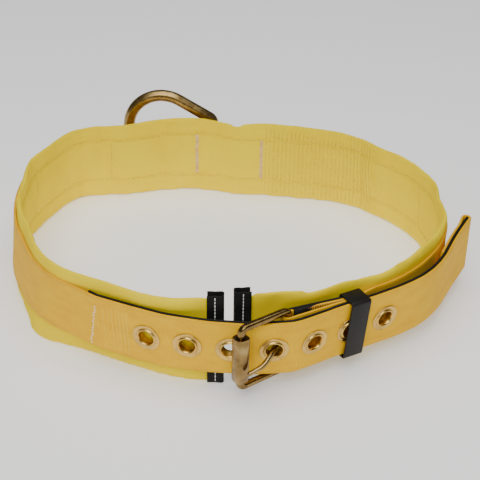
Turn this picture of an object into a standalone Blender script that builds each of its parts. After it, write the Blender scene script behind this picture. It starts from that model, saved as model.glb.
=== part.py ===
"""Padded work belt with a tongue buckle, a sliding keeper and a back ring.

The belt stands on its lower edge, fastened, as a ring round an open waist.
Plan tables are in millimetres: x to the right, y from the front of the pad to
the back. Heights are measured from the surface that the belt stands on.
"""
import math

import bmesh
import bpy
from mathutils import Matrix, Vector

MM = 0.001

# Where the plan's zero lies in the finished frame
PLAN_SHIFT_X = 2.015
PLAN_SHIFT_Y = -137.921

# Heights
PAD_HEIGHT = 73.0
MID_HEIGHT = 36.5
WEBBING_WIDTH = 46.0
BELT_LOW = MID_HEIGHT - WEBBING_WIDTH / 2
BELT_HIGH = MID_HEIGHT + WEBBING_WIDTH / 2

# Thicknesses
GAP = 0.3
PAD_HALF = 2.25
PAD_PUFF = 1.1
PAD_END_HALF = 1.9
WEBBING = 2.0
CORE = 1.6
LINER = 1.4
BINDING = 1.1
BINDING_REACH = 11.0
BINDING_FOOT = 0.3
BINDING_RISE = 0.5
PAD_END_MARGIN = 2.0
PAD_END_EASE = 10.0

# Distances between the middles of layers that lie on each other
PAD_TO_WEBBING = PAD_HALF + GAP + WEBBING / 2
WEBBING_TO_CORE = WEBBING / 2 + GAP + CORE / 2
WEBBING_TO_LINER = WEBBING / 2 + GAP + LINER / 2
WEBBING_TO_WEBBING = WEBBING + GAP

# The lean of every standing piece is measured outwards from here
RING_CENTRE = (-10.0, 140.0)

# Middle of the pad at belt height, from its left end round the back to its
# right end. top: height of the upper edge. lean: how much further out the
# lower edge stands than the upper one.
PAD_SECTIONS = (
    # x, y, top, lean
    (-11.4, 3.6, 72.5, 1.0),
    (-26.0, 3.8, 73.0, 0.0),
    (-42.0, 4.9, 73.0, -3.0),
    (-57.6, 9.4, 73.0, -4.0),
    (-75.7, 17.3, 73.0, -5.0),
    (-94.0, 26.0, 73.0, -5.0),
    (-112.0, 35.4, 73.0, -4.0),
    (-129.0, 46.6, 73.0, -1.0),
    (-143.0, 61.0, 72.5, 3.0),
    (-153.0, 77.0, 72.0, 6.0),
    (-162.0, 97.0, 72.0, 8.0),
    (-170.0, 118.0, 72.5, 8.0),
    (-175.5, 146.0, 73.0, 8.0),
    (-176.5, 172.0, 73.0, 7.0),
    (-174.0, 196.0, 72.5, 6.0),
    (-166.0, 220.0, 72.0, 6.0),
    (-154.0, 245.0, 72.0, 7.0),
    (-143.0, 258.5, 71.0, 7.0),
    (-126.0, 265.0, 71.0, 6.0),
    (-104.0, 268.0, 71.0, 4.0),
    (-80.0, 275.5, 72.0, 2.0),
    (-58.0, 280.6, 72.5, 0.0),
    (-38.0, 281.0, 73.0, 0.0),
    (-20.0, 278.0, 71.5, 0.0),
    (-2.0, 272.5, 70.5, 0.0),
    (18.0, 272.0, 73.0, 0.0),
    (42.0, 268.5, 72.5, 0.0),
    (66.0, 264.0, 71.5, 2.0),
    (87.0, 258.0, 71.0, 4.0),
    (105.0, 246.5, 71.5, 6.0),
    (121.0, 230.5, 72.0, 8.0),
    (136.0, 213.0, 72.0, 7.0),
    (148.0, 193.0, 72.0, 5.0),
    (154.5, 170.0, 72.5, 3.0),
    (156.0, 146.0, 73.0, 1.0),
    (154.0, 122.0, 73.0, -1.0),
    (147.5, 101.0, 73.0, -2.0),
    (137.0, 82.5, 73.0, -4.0),
    (124.0, 66.0, 72.0, -6.0),
    (108.0, 51.0, 70.5, -7.0),
    (92.0, 41.0, 69.0, -8.0),
    (71.5, 32.8, 68.0, -8.0),
    (48.0, 20.6, 70.0, -6.0),
    (26.0, 14.2, 71.5, -4.0),
    (10.0, 11.0, 72.0, -2.0),
    (-2.3, 9.2, 72.5, -1.0),
)
PAD_STEPS = 2

# Outer middle line of the tongue, from its tip along the front to where the
# webbing is sewn on the left of the pad
TONGUE_SECTIONS = (
    # x, y, lean
    (178.0, 133.0, 0.0),
    (169.5, 117.0, 0.0),
    (160.5, 99.0, -1.0),
    (148.5, 74.0, -3.0),
    (132.5, 53.0, -5.0),
    (111.0, 36.6, -7.0),
    (93.0, 26.0, -8.0),
    (79.0, 18.6, -8.0),
    (67.0, 11.8, -8.2),
    (54.5, 3.4, -8.4),
    (41.0, -4.2, -8.6),
    (30.0, -7.6, -8.8),
    (17.0, -9.0, -9.0),
    (-4.0, -8.4, -8.5),
    (-20.0, -6.8, -7.5),
    (-37.0, -3.8, -6.5),
    (-57.0, 1.6, -5.0),
    (-78.0, 10.6, -4.0),
    (-98.0, 19.8, -4.5),
)
TONGUE_STEP = 11.0
TONGUE_RETURN = 66.0
TONGUE_RETURN_START = 9.0
TONGUE_FOLD_RADIUS = 3.0
CORE_END_X = -103.0
SEWN_LEFT_X = -118.0
SEWN_RIGHT_X = 90.0

# Grommets along the tongue
GROMMET_COUNT = 7
GROMMET_PITCH = 29.5
GROMMET_AT_PRONG = 4
PRONG_GROMMET_X = 24.0
GROMMET_FLAT = 11.5
GROMMET_SIDES = 16
GROMMET_BORE = 5.6
GROMMET_BARREL = 6.6
GROMMET_FLANGE = 10.0
GROMMET_BACK_FLANGE = 9.0
GROMMET_DOME = 1.3
GROMMET_ROLL = 1.8
GROMMET_LIP = 0.7
GROMMET_BACK = 0.8
HOLE_DEPTH = 8.0

# Buckle: a bent frame with a roller on its front bar and a prong on its back bar
FRAME_FRONT = (1.5, -19.5)
FRAME_DIRECTION = (0.806, 0.592)
FRAME_LENGTH = 38.0
FRAME_HALF_HEIGHT = 26.9
FRAME_STOCK = 2.6
FRAME_BEND = 4.0
FRAME_LEAN = -9.0
ROLLER_RADIUS = 5.5
ROLLER_HALF_LENGTH = 19.5
ROLLER_EDGE = 0.6
PRONG_RADIUS = 1.9
PRONG_EYE_WALL = 2.0
PRONG_EYE_HALF = 2.0
PRONG_ROOM = 0.6
PRONG_PATH = (
    # x, y, height
    (28.5, 1.5, 36.5),
    (25.6, -2.6, 36.6),
    (23.7, -8.6, 36.7),
    (21.2, -14.6, 35.2),
    (17.2, -19.2, 31.6),
    (12.6, -21.8, 29.4),
    (6.4, -24.8, 27.4),
)

# Keeper, over the sixth grommet and shifted to the right of it
KEEPER_GROMMET = 6
KEEPER_WIDTH = 15.5
KEEPER_WALL = 1.6
KEEPER_SHIFT = 4.3
KEEPER_CLEARANCE = 0.5
KEEPER_CORNER = 2.2

# Webbing loop round the back bar, and how far past the keeper's middle it ends
LOOP_STEPS = 8
LOOP_START = 80.0
LOOP_TURN = 200.0
FOLD_END = -3.0
STRAIGHT_PAST_KEEPER = 1.0

# Back ring: stock, and its middle line as a D with its bar on the hinge axis
RING_STOCK = 5.1
RING_HALF_WIDTH = 30.3
RING_LEG = 38.0
RING_CORNER = 7.0
RING_BAR = (-38.3, 294.4, 36.0)
RING_TILT = 30.0
RING_REST_SWING = 3.0

# Webbing tab that holds the back ring: x of its stations, and where its
# pocket for the ring's bar closes
TAB_HEIGHT = 36.0
TAB_STATIONS = (-51.0, -44.0, -33.0, -21.0, -10.0, 5.0, 20.0)
TAB_POCKET_RIGHT = -21.0
TAB_FOLD_STEPS = 6


def clear_scene():
    """Start from an empty scene."""
    for item in list(bpy.data.objects):
        bpy.data.objects.remove(item, do_unlink=True)


def material(name, colour, roughness, metallic=0.0):
    """A plain surface of one colour."""
    made = bpy.data.materials.new(name)
    made.use_nodes = True
    shader = made.node_tree.nodes["Principled BSDF"]
    shader.inputs["Base Color"].default_value = (*colour, 1.0)
    shader.inputs["Roughness"].default_value = roughness
    shader.inputs["Metallic"].default_value = metallic
    return made


def outwards(x, y):
    """Unit plan vector that points away from the middle of the waist."""
    away = Vector((x - RING_CENTRE[0], y - RING_CENTRE[1]))
    return away.normalized()


def stand(x, y, height, lean):
    """Point of a standing piece, leaned about belt height, in metres."""
    shift = outwards(x, y) * (lean * (MID_HEIGHT - height) / PAD_HEIGHT)
    return Vector((x + shift.x + PLAN_SHIFT_X, y + shift.y + PLAN_SHIFT_Y, height)) * MM


def smooth_rows(rows, steps):
    """Rows on a smooth curve through the given rows, all columns together."""
    out = []
    last = len(rows) - 1
    for i in range(last):
        before = rows[max(i - 1, 0)]
        here = rows[i]
        after = rows[i + 1]
        beyond = rows[min(i + 2, last)]
        for k in range(steps):
            t = k / steps
            out.append(tuple(
                0.5 * (2 * b + (c - a) * t + (2 * a - 5 * b + 4 * c - d) * t ** 2
                       + (3 * b - a - 3 * c + d) * t ** 3)
                for a, b, c, d in zip(before, here, after, beyond)))
    out.append(tuple(rows[last]))
    return out


def lengths(rows):
    """Distance along the plan line to each row."""
    out = [0.0]
    for a, b in zip(rows, rows[1:]):
        out.append(out[-1] + math.hypot(b[0] - a[0], b[1] - a[1]))
    return out


def row_at(rows, marks, distance):
    """Row at a distance along the plan line."""
    for i in range(len(rows) - 1):
        if distance <= marks[i + 1] or i == len(rows) - 2:
            span = marks[i + 1] - marks[i]
            t = (distance - marks[i]) / span
            return tuple(p + (q - p) * t for p, q in zip(rows[i], rows[i + 1]))
    return rows[-1]


def distance_at_x(rows, marks, x):
    """Distance along the plan line where it first crosses an x."""
    for i in range(len(rows) - 1):
        a, b = rows[i][0], rows[i + 1][0]
        if min(a, b) <= x <= max(a, b):
            return marks[i] + (marks[i + 1] - marks[i]) * (x - a) / (b - a)
    return marks[-1]


def mitres(rows):
    """Left-hand normal of each row, lengthened so that a wall keeps its thickness."""
    ways = []
    for a, b in zip(rows, rows[1:]):
        ways.append(Vector((b[0] - a[0], b[1] - a[1])).normalized())
    out = []
    for i in range(len(rows)):
        first = ways[max(i - 1, 0)]
        second = ways[min(i, len(ways) - 1)]
        middle = (first + second).normalized()
        normal = Vector((-middle.y, middle.x))
        out.append(normal / max(middle.dot(first), 0.3))
    return out


def offset_rows(rows, distance):
    """Rows moved to the left of their way, with their other columns kept."""
    return [(row[0] + n.x * distance, row[1] + n.y * distance, *row[2:])
            for row, n in zip(rows, mitres(rows))]


def loft(name, sections, surface, closed=False, sharp=40.0):
    """Closed solid through sections with equal numbers of points."""
    bm = bmesh.new()
    rings = [[bm.verts.new(point) for point in section] for section in sections]
    pairs = list(zip(rings, rings[1:]))
    if closed:
        pairs.append((rings[-1], rings[0]))
    count = len(rings[0])
    for a, b in pairs:
        for j in range(count):
            k = (j + 1) % count
            bm.faces.new((a[j], a[k], b[k], b[j]))
    if not closed:
        bm.faces.new(rings[0])
        bm.faces.new(rings[-1])
    bmesh.ops.recalc_face_normals(bm, faces=bm.faces)
    mesh = bpy.data.meshes.new(name)
    bm.to_mesh(mesh)
    bm.free()
    mesh.shade_smooth()
    mesh.set_sharp_from_angle(angle=math.radians(sharp))
    made = bpy.data.objects.new(name, mesh)
    made.data.materials.append(surface)
    bpy.context.scene.collection.objects.link(made)
    return made


def strip(name, rows, thickness, low, high, surface):
    """Upright band of cloth along plan rows of x, y and lean."""
    half = thickness / 2
    sections = []
    for (x, y, lean), n in zip(rows, mitres(rows)):
        outer = [stand_beside(x, y, z, lean, n, half) for z in (low, MID_HEIGHT, high)]
        inner = [stand_beside(x, y, z, lean, n, -half) for z in (high, MID_HEIGHT, low)]
        sections.append(outer + inner)
    return loft(name, sections, surface)


def stand_beside(x, y, height, lean, normal, distance):
    """Point of a band's face, leaned as the band's middle is."""
    middle = stand(x, y, height, lean)
    return middle + Vector((normal.x, normal.y, 0.0)) * (distance * MM)


def tube(name, points, radius, sides, surface, closed=False):
    """Round bar along points in metres, each section square to the bar."""
    sections = []
    count = len(points)
    side = None
    for i, point in enumerate(points):
        before = points[i - 1] if i or closed else point
        after = points[(i + 1) % count] if i < count - 1 or closed else point
        way = (after - before).normalized()
        if side is None:
            side = way.orthogonal().normalized()
        side = (side - way * side.dot(way)).normalized()
        other = way.cross(side)
        turn = 2 * math.pi / sides
        sections.append([
            point + (side * math.cos(k * turn) + other * math.sin(k * turn)) * radius
            for k in range(sides)])
    return loft(name, sections, surface, closed=closed, sharp=60.0)


def arc(centre, start, end, radius, steps, first, second):
    """Points on an arc in the plane of two unit vectors, angles in degrees."""
    out = []
    for k in range(steps + 1):
        angle = math.radians(start + (end - start) * k / steps)
        out.append(centre + (first * math.cos(angle) + second * math.sin(angle)) * radius)
    return out


def cutter(item):
    """Keep a cutting shape out of the finished object."""
    item.hide_render = True
    item.display_type = "WIRE"
    return item


def cut(item, tool, operation="DIFFERENCE"):
    """Boolean with an exact solver."""
    step = item.modifiers.new(tool.name, "BOOLEAN")
    step.object = tool
    step.operation = operation
    step.solver = "EXACT"


def pad_profile(top, puff):
    """Height and half thickness of the pad, from its foot to its upper edge."""
    full = PAD_HALF + PAD_PUFF
    soft = (
        (0.0, 2.0),
        (1.5, full - 0.3),
        (6.0, full),
        (12.0, PAD_HALF),
        (MID_HEIGHT, PAD_HALF),
        (61.0, PAD_HALF),
        (top - 5.5, full - 0.1),
        (top - 1.5, full - 0.5),
        (top, 1.6),
    )
    return [(z, PAD_END_HALF + (half - PAD_END_HALF) * puff) for z, half in soft]


def pad_puffs(marks):
    """How full the pad is at each row: 1 along it and 0 at its two bound ends."""
    total = marks[-1]
    out = []
    for mark in marks:
        inside = min(mark, total - mark) - BINDING_REACH - PAD_END_MARGIN
        out.append(min(max(inside / PAD_END_EASE, 0.0), 1.0))
    return out


def pad_rows():
    """Pad rows on a smooth curve, with two short straight steps at each end."""
    rows = smooth_rows(PAD_SECTIONS, PAD_STEPS)
    marks = lengths(rows)
    reach = BINDING_REACH + PAD_END_MARGIN
    start = row_at(rows, marks, reach)
    finish = row_at(rows, marks, marks[-1] - reach)
    kept = [row for row, mark in zip(rows, marks) if reach + 4 < mark < marks[-1] - reach - 4]
    return [rows[0], start, *kept, finish, rows[-1]]


def make_pad(rows, surface):
    """Soft ring, open at the front."""
    puffs = pad_puffs(lengths(rows))
    sections = []
    for (x, y, top, lean), n, puff in zip(rows, mitres(rows), puffs):
        profile = pad_profile(top, puff)
        outer = [stand_beside(x, y, z, lean, n, half) for z, half in profile]
        inner = [stand_beside(x, y, z, lean, n, -half) for z, half in profile]
        sections.append(outer + inner[::-1])
    return loft("pad", sections, surface)


def make_binding(name, end, inner, surface):
    """Tape folded round one end of the pad; end and inner are two pad rows."""
    way = Vector((end[0] - inner[0], end[1] - inner[1])).normalized()
    normal = Vector((-way.y, way.x))
    side = PAD_END_HALF + GAP + BINDING / 2
    tip = Vector(end[:2]) + way * (GAP + BINDING / 2)
    back = Vector(end[:2]) - way * BINDING_REACH
    share = BINDING_REACH / (BINDING_REACH + PAD_END_MARGIN)
    back_lean = end[3] + (inner[3] - end[3]) * share
    corners = (
        (back + normal * side, back_lean),
        (tip + normal * side, end[3]),
        (tip - normal * side, end[3]),
        (back - normal * side, back_lean),
    )
    rows = [(spot.x, spot.y, lean) for spot, lean in corners]
    return strip(name, rows, BINDING, BINDING_FOOT, end[2] + BINDING_RISE, surface)


def tongue_rows():
    """Stations of the tongue, flat at each grommet, and the grommets' flats."""
    curve = smooth_rows(TONGUE_SECTIONS, 6)
    marks = lengths(curve)
    at_prong = distance_at_x(curve, marks, PRONG_GROMMET_X)
    middles = [at_prong + (GROMMET_AT_PRONG - 1 - i) * GROMMET_PITCH for i in range(GROMMET_COUNT)]
    first = middles[-1] - GROMMET_FLAT
    last = middles[0] + GROMMET_FLAT
    steps = int(first // TONGUE_STEP)
    stations = [first * k / steps for k in range(steps)]
    for mark in reversed(middles):
        stations += [mark - GROMMET_FLAT, mark + GROMMET_FLAT]
    stations += [(last + marks[-1]) / 2, marks[-1]]
    rows = [row_at(curve, marks, mark) for mark in stations]
    flats = [(row_at(curve, marks, mark - GROMMET_FLAT), row_at(curve, marks, mark + GROMMET_FLAT))
             for mark in middles]
    return rows, flats


def frame_at(flat):
    """Middle, way along and outward normal of a flat stretch, and its lean."""
    a, b = flat
    middle = Vector(((a[0] + b[0]) / 2, (a[1] + b[1]) / 2))
    way = Vector((b[0] - a[0], b[1] - a[1])).normalized()
    return middle, way, Vector((-way.y, way.x)), (a[2] + b[2]) / 2


def beside(flat, along, out):
    """Plan row beside a flat stretch of the tongue."""
    middle, way, normal, lean = frame_at(flat)
    spot = middle + way * along + normal * out
    return (spot.x, spot.y, lean)


def tip_fold(rows):
    """Rows of the webbing's end, folded inwards over the core at the tip."""
    tip = Vector(rows[0][:2])
    way = (tip - Vector(rows[1][:2])).normalized()
    inwards = Vector((-way.y, way.x))
    centre = tip + inwards * TONGUE_FOLD_RADIUS
    fold = []
    for k in range(1, 7):
        angle = math.pi * k / 6
        spot = centre + (way * math.sin(angle) - inwards * math.cos(angle)) * TONGUE_FOLD_RADIUS
        fold.append((spot.x, spot.y, rows[0][2]))
    marks = lengths(rows)
    inner = offset_rows(rows, -2 * WEBBING_TO_CORE)
    back = [row for row, mark in zip(inner, marks) if TONGUE_RETURN_START < mark < TONGUE_RETURN]
    return [*back[::-1], *fold[::-1]]


def stack_offsets():
    """Distances out from the tongue's middle line of what lies in the keeper."""
    grommet_back = WEBBING_TO_CORE + CORE / 2 + GAP + GROMMET_BACK
    outer_run = -(grommet_back + GAP + WEBBING / 2)
    inner_run = outer_run - WEBBING_TO_WEBBING
    liner = inner_run - WEBBING_TO_LINER
    return {
        "front": WEBBING / 2 + GAP + GROMMET_DOME,
        "outer_run": outer_run,
        "inner_run": inner_run,
        "liner": liner,
        "back": liner - LINER / 2,
    }


def back_bar():
    """Plan middle of the buckle's back bar."""
    return Vector(FRAME_FRONT) + Vector(FRAME_DIRECTION) * FRAME_LENGTH


def loop_rows(flat):
    """Rows through the keeper, round the buckle's back bar and back to the keeper."""
    stack = stack_offsets()
    right = -KEEPER_SHIFT - KEEPER_WIDTH / 2 - STRAIGHT_PAST_KEEPER
    left = -KEEPER_SHIFT + KEEPER_WIDTH / 2 + STRAIGHT_PAST_KEEPER
    enters = beside(flat, right, stack["inner_run"])
    leaves = beside(flat, left, stack["inner_run"])
    bar = back_bar()
    radius = FRAME_STOCK + GAP + WEBBING / 2
    reach = (Vector(leaves[:2]) - bar).normalized()
    across = Vector((-reach.y, reach.x))
    loop = []
    for k in range(LOOP_STEPS + 1):
        angle = math.radians(LOOP_START + LOOP_TURN * k / LOOP_STEPS)
        spot = bar + (reach * math.cos(angle) + across * math.sin(angle)) * radius
        loop.append((spot.x, spot.y, FRAME_LEAN))
    back = beside(flat, left, stack["outer_run"])
    rows = [enters, leaves]
    rows += [tuple(p + (q - p) * k / 4 for p, q in zip(leaves, loop[0])) for k in range(1, 4)]
    rows += loop
    rows += [tuple(p + (q - p) * k / 4 for p, q in zip(loop[-1], back)) for k in range(1, 5)]
    rows.append(beside(flat, FOLD_END - KEEPER_SHIFT, stack["outer_run"]))
    return rows


def liner_rows(flat):
    """Rows of the black liner from under the keeper to the buckle's back bar."""
    out = stack_offsets()["liner"]
    start = beside(flat, FOLD_END - KEEPER_SHIFT, out)
    leaves = beside(flat, -KEEPER_SHIFT + KEEPER_WIDTH / 2 + STRAIGHT_PAST_KEEPER, out)
    bar = back_bar()
    reach = (Vector(leaves[:2]) - bar).normalized()
    across = Vector((-reach.y, reach.x))
    spot = bar + across * (FRAME_STOCK + GAP + WEBBING / 2 + WEBBING_TO_LINER)
    finish = (spot.x, spot.y, FRAME_LEAN)
    run = [tuple(p + (q - p) * k / 4 for p, q in zip(leaves, finish)) for k in range(1, 5)]
    return [start, leaves, *run]


def sewn_rows(rows):
    """Belt rows on the outside of the pad, from the left front to the right front."""
    marks = lengths(rows)
    middle = marks[-1] / 2
    plan = [(x, y, lean) for x, y, top, lean in rows]
    moved = offset_rows(plan, PAD_TO_WEBBING)
    kept = []
    for row, base, mark in zip(moved, plan, marks):
        if mark < middle and base[0] > SEWN_LEFT_X and base[1] < RING_CENTRE[1]:
            continue
        if mark > middle and base[0] < SEWN_RIGHT_X and base[1] < RING_CENTRE[1]:
            continue
        kept.append(row)
    return kept


def local_frame(flat, height=MID_HEIGHT):
    """Origin in metres and the three unit vectors of a flat, leaning stretch."""
    middle, way, normal, lean = frame_at(flat)
    origin = stand(middle.x, middle.y, height, lean)
    up = (stand(middle.x, middle.y, height + 10, lean) - origin).normalized()
    along = Vector((way.x, way.y, 0.0))
    out = up.cross(along).normalized()
    if out.dot(Vector((normal.x, normal.y, 0.0))) < 0:
        out = -out
    return origin, along, up, out


def turned(name, origin, axis, side, profile, sides, surface, sharp=40.0):
    """Ring turned round an axis; profile holds radius and distance along it."""
    other = axis.cross(side).normalized()
    sections = []
    for k in range(sides):
        angle = 2 * math.pi * k / sides
        away = side * math.cos(angle) + other * math.sin(angle)
        sections.append([origin + (away * r + axis * h) * MM for r, h in profile])
    return loft(name, sections, surface, closed=True, sharp=sharp)


def make_grommet(name, flat, surface):
    """Rolled eyelet, clinched through the webbing and the core."""
    origin, along, up, out = local_frame(flat)
    face = WEBBING / 2 + GAP
    back = -(WEBBING_TO_CORE + CORE / 2 + GAP)
    profile = (
        (GROMMET_BORE, back - GROMMET_BACK),
        (GROMMET_BORE, face + GROMMET_DOME / 2),
        (GROMMET_BORE + GROMMET_LIP, face + GROMMET_DOME),
        (GROMMET_FLANGE - GROMMET_ROLL, face + GROMMET_DOME),
        (GROMMET_FLANGE, face + GROMMET_DOME / 3),
        (GROMMET_FLANGE, face),
        (GROMMET_BARREL, face),
        (GROMMET_BARREL, back),
        (GROMMET_BACK_FLANGE, back),
        (GROMMET_BACK_FLANGE, back - GROMMET_BACK),
    )
    return turned(name, origin, out, along, profile, GROMMET_SIDES, surface)


def grommet_cutters(flats):
    """One guide with a round plug at each grommet."""
    bm = bmesh.new()
    for flat in flats:
        origin, along, up, out = local_frame(flat)
        turn = Matrix((along, up, out)).transposed().to_4x4()
        spot = Matrix.Translation(origin - out * (WEBBING_TO_CORE * MM / 2)) @ turn
        radius = (GROMMET_BARREL + GAP) * MM
        bmesh.ops.create_cone(bm, cap_ends=True, segments=GROMMET_SIDES, radius1=radius,
                              radius2=radius, depth=HOLE_DEPTH * MM, matrix=spot)
    bmesh.ops.recalc_face_normals(bm, faces=bm.faces)
    mesh = bpy.data.meshes.new("grommet_holes")
    bm.to_mesh(mesh)
    bm.free()
    made = bpy.data.objects.new("grommet_holes", mesh)
    bpy.context.scene.collection.objects.link(made)
    return cutter(made)


def make_frame(surface):
    """Rounded rectangle bent from one round bar."""
    along = FRAME_LENGTH - FRAME_BEND
    half = FRAME_HALF_HEIGHT - FRAME_BEND
    corners = (
        # way along the frame, height from its middle, start of the bend in degrees
        (along, -half, -90),
        (along, half, 0),
        (FRAME_BEND, half, 90),
        (FRAME_BEND, -half, 180),
    )
    points = []
    for centre, height, start in corners:
        for k in range(4):
            angle = math.radians(start + 30 * k)
            reach = centre + FRAME_BEND * math.cos(angle)
            spot = Vector(FRAME_FRONT) + Vector(FRAME_DIRECTION) * reach
            level = MID_HEIGHT + height + FRAME_BEND * math.sin(angle)
            points.append(stand(spot.x, spot.y, level, FRAME_LEAN))
    return tube("buckle_frame", points, FRAME_STOCK * MM, 10, surface, closed=True)


def make_roller(surface):
    """Sleeve that turns on the frame's front bar."""
    x, y = FRAME_FRONT
    low = stand(x, y, MID_HEIGHT - ROLLER_HALF_LENGTH, FRAME_LEAN)
    high = stand(x, y, MID_HEIGHT + ROLLER_HALF_LENGTH, FRAME_LEAN)
    axis = (high - low).normalized()
    bore = FRAME_STOCK + GAP
    half = ROLLER_HALF_LENGTH
    profile = (
        (bore, -half),
        (ROLLER_RADIUS - ROLLER_EDGE, -half),
        (ROLLER_RADIUS, -half + ROLLER_EDGE),
        (ROLLER_RADIUS, half - ROLLER_EDGE),
        (ROLLER_RADIUS - ROLLER_EDGE, half),
        (bore, half),
    )
    side = axis.orthogonal().normalized()
    return turned("buckle_roller", (low + high) / 2, axis, side, profile, 20, surface)


def make_prong(surface):
    """Bent pin with an eye round the back bar, its point laid on the roller."""
    bar = back_bar()
    centre = stand(bar.x, bar.y, MID_HEIGHT, FRAME_LEAN)
    above = stand(bar.x, bar.y, MID_HEIGHT + 10, FRAME_LEAN)
    axis = (above - centre).normalized()
    bore = FRAME_STOCK + GAP
    rim = bore + PRONG_EYE_WALL
    half = PRONG_EYE_HALF
    profile = ((bore, -half), (rim, -half), (rim, half), (bore, half))
    side = axis.orthogonal().normalized()
    eye = turned("buckle_prong", centre, axis, side, profile, 16, surface)
    points = [stand(x, y, z, 0.0) for x, y, z in PRONG_PATH]
    shank = cutter(tube("prong_shank", points, PRONG_RADIUS * MM, 8, surface))
    cut(eye, shank, "UNION")
    return eye


def make_prong_slot():
    """Guide that opens the webbing loop for the prong's eye."""
    bar = back_bar()
    middle = stand(bar.x, bar.y, MID_HEIGHT, FRAME_LEAN)
    bpy.ops.mesh.primitive_cube_add(size=1.0, location=middle)
    slot = bpy.context.object
    slot.name = "prong_slot"
    tall = 2 * (PRONG_EYE_HALF + PRONG_ROOM) * MM
    wide = 2 * (FRAME_STOCK + GAP + PRONG_EYE_WALL + PRONG_ROOM) * MM
    slot.data.transform(Matrix.Diagonal((wide, wide, tall, 1.0)))
    return cutter(slot)


def make_keeper(flat, surface):
    """Flat sleeve round the tongue and the buckle side of the belt."""
    stack = stack_offsets()
    corner = KEEPER_CORNER
    room = KEEPER_CLEARANCE + KEEPER_WALL - corner
    front = stack["front"] + room
    back = stack["back"] - room
    high = BELT_HIGH + room
    low = BELT_LOW - room
    corners = (
        # way out, height and start of the bend in degrees
        (front, high, 0),
        (back, high, 90),
        (back, low, 180),
        (front, low, 270),
    )
    half = KEEPER_WIDTH / 2
    outline = ((-half, corner), (half, corner), (half, corner - KEEPER_WALL), (-half, corner - KEEPER_WALL))
    sections = []
    for out, height, start in corners:
        for k in range(3):
            angle = math.radians(start + 45 * k)
            section = []
            for along, radius in outline:
                row = beside(flat, along - KEEPER_SHIFT, out + radius * math.cos(angle))
                section.append(keeper_point(flat, row, height + radius * math.sin(angle)))
            sections.append(section)
    return loft("keeper", sections, surface, closed=True)


def keeper_point(flat, row, height):
    """Point of the keeper, leaned as the tongue is at the keeper."""
    middle, way, normal, lean = frame_at(flat)
    base = stand(middle.x, middle.y, height, lean) - stand(middle.x, middle.y, MID_HEIGHT, lean)
    return stand(row[0], row[1], MID_HEIGHT, 0.0) + base


def tab_rows(belt):
    """Plan rows of the ring's tab, from its right end round the pocket and back."""
    back = [row for row in belt if row[1] > RING_CENTRE[1]]
    base = offset_rows(back, WEBBING_TO_WEBBING)
    marks = lengths(base)
    under = [row_at(base, marks, distance_at_x(base, marks, x)) for x in TAB_STATIONS]
    over = offset_rows(under, WEBBING_TO_WEBBING)
    closed = [row for row, x in zip(over, TAB_STATIONS) if x > TAB_POCKET_RIGHT]
    left = TAB_STATIONS[0]
    low = under[0][1]
    high = RING_BAR[1] + RING_STOCK + GAP + WEBBING / 2
    radius = (high - low) / 2
    fold = []
    for k in range(1, TAB_FOLD_STEPS):
        angle = math.radians(270 - 180 * k / TAB_FOLD_STEPS)
        fold.append((left + radius * math.cos(angle), low + radius * (1 + math.sin(angle)), 0.0))
    pocket = [(left, high, 0.0), (TAB_POCKET_RIGHT, high, 0.0)]
    return [*under[::-1], *fold, *pocket, *closed]


def make_ring(surface):
    """D-shaped ring; its object's origin lies on the bar, the hinge axis."""
    half = RING_HALF_WIDTH
    corner = RING_CORNER
    out = Vector((1.0, 0.0, 0.0))
    up = Vector((0.0, 0.0, 1.0))
    straight = out * ((RING_LEG + corner) / 2)
    bar_end = up * ((half - corner) * 0.9)
    points = [Vector((0.0, 0.0, 0.0)), bar_end]
    points += arc(up * (half - corner) + out * corner, 180, 90, corner, 4, out, up)
    points += [up * half + straight]
    points += arc(out * RING_LEG, 90, -90, half, 14, out, up)
    points += [-up * half + straight]
    points += arc(-up * (half - corner) + out * corner, -90, -180, corner, 4, out, up)
    points += [-bar_end]
    ring = tube("d_ring", [p * MM for p in points], RING_STOCK * MM, 10, surface, closed=True)
    tilt = math.radians(RING_TILT)
    axis = Vector((math.sin(tilt), 0.0, math.cos(tilt)))
    away = Vector((-math.cos(tilt), 0.0, math.sin(tilt)))
    swing = Matrix.Rotation(math.radians(-RING_REST_SWING), 3, axis)
    away = swing @ away
    ring.location = stand(*RING_BAR, 0.0)
    ring.rotation_mode = "QUATERNION"
    ring.rotation_quaternion = Matrix((away, axis.cross(away), axis)).transposed().to_quaternion()
    return ring


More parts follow.
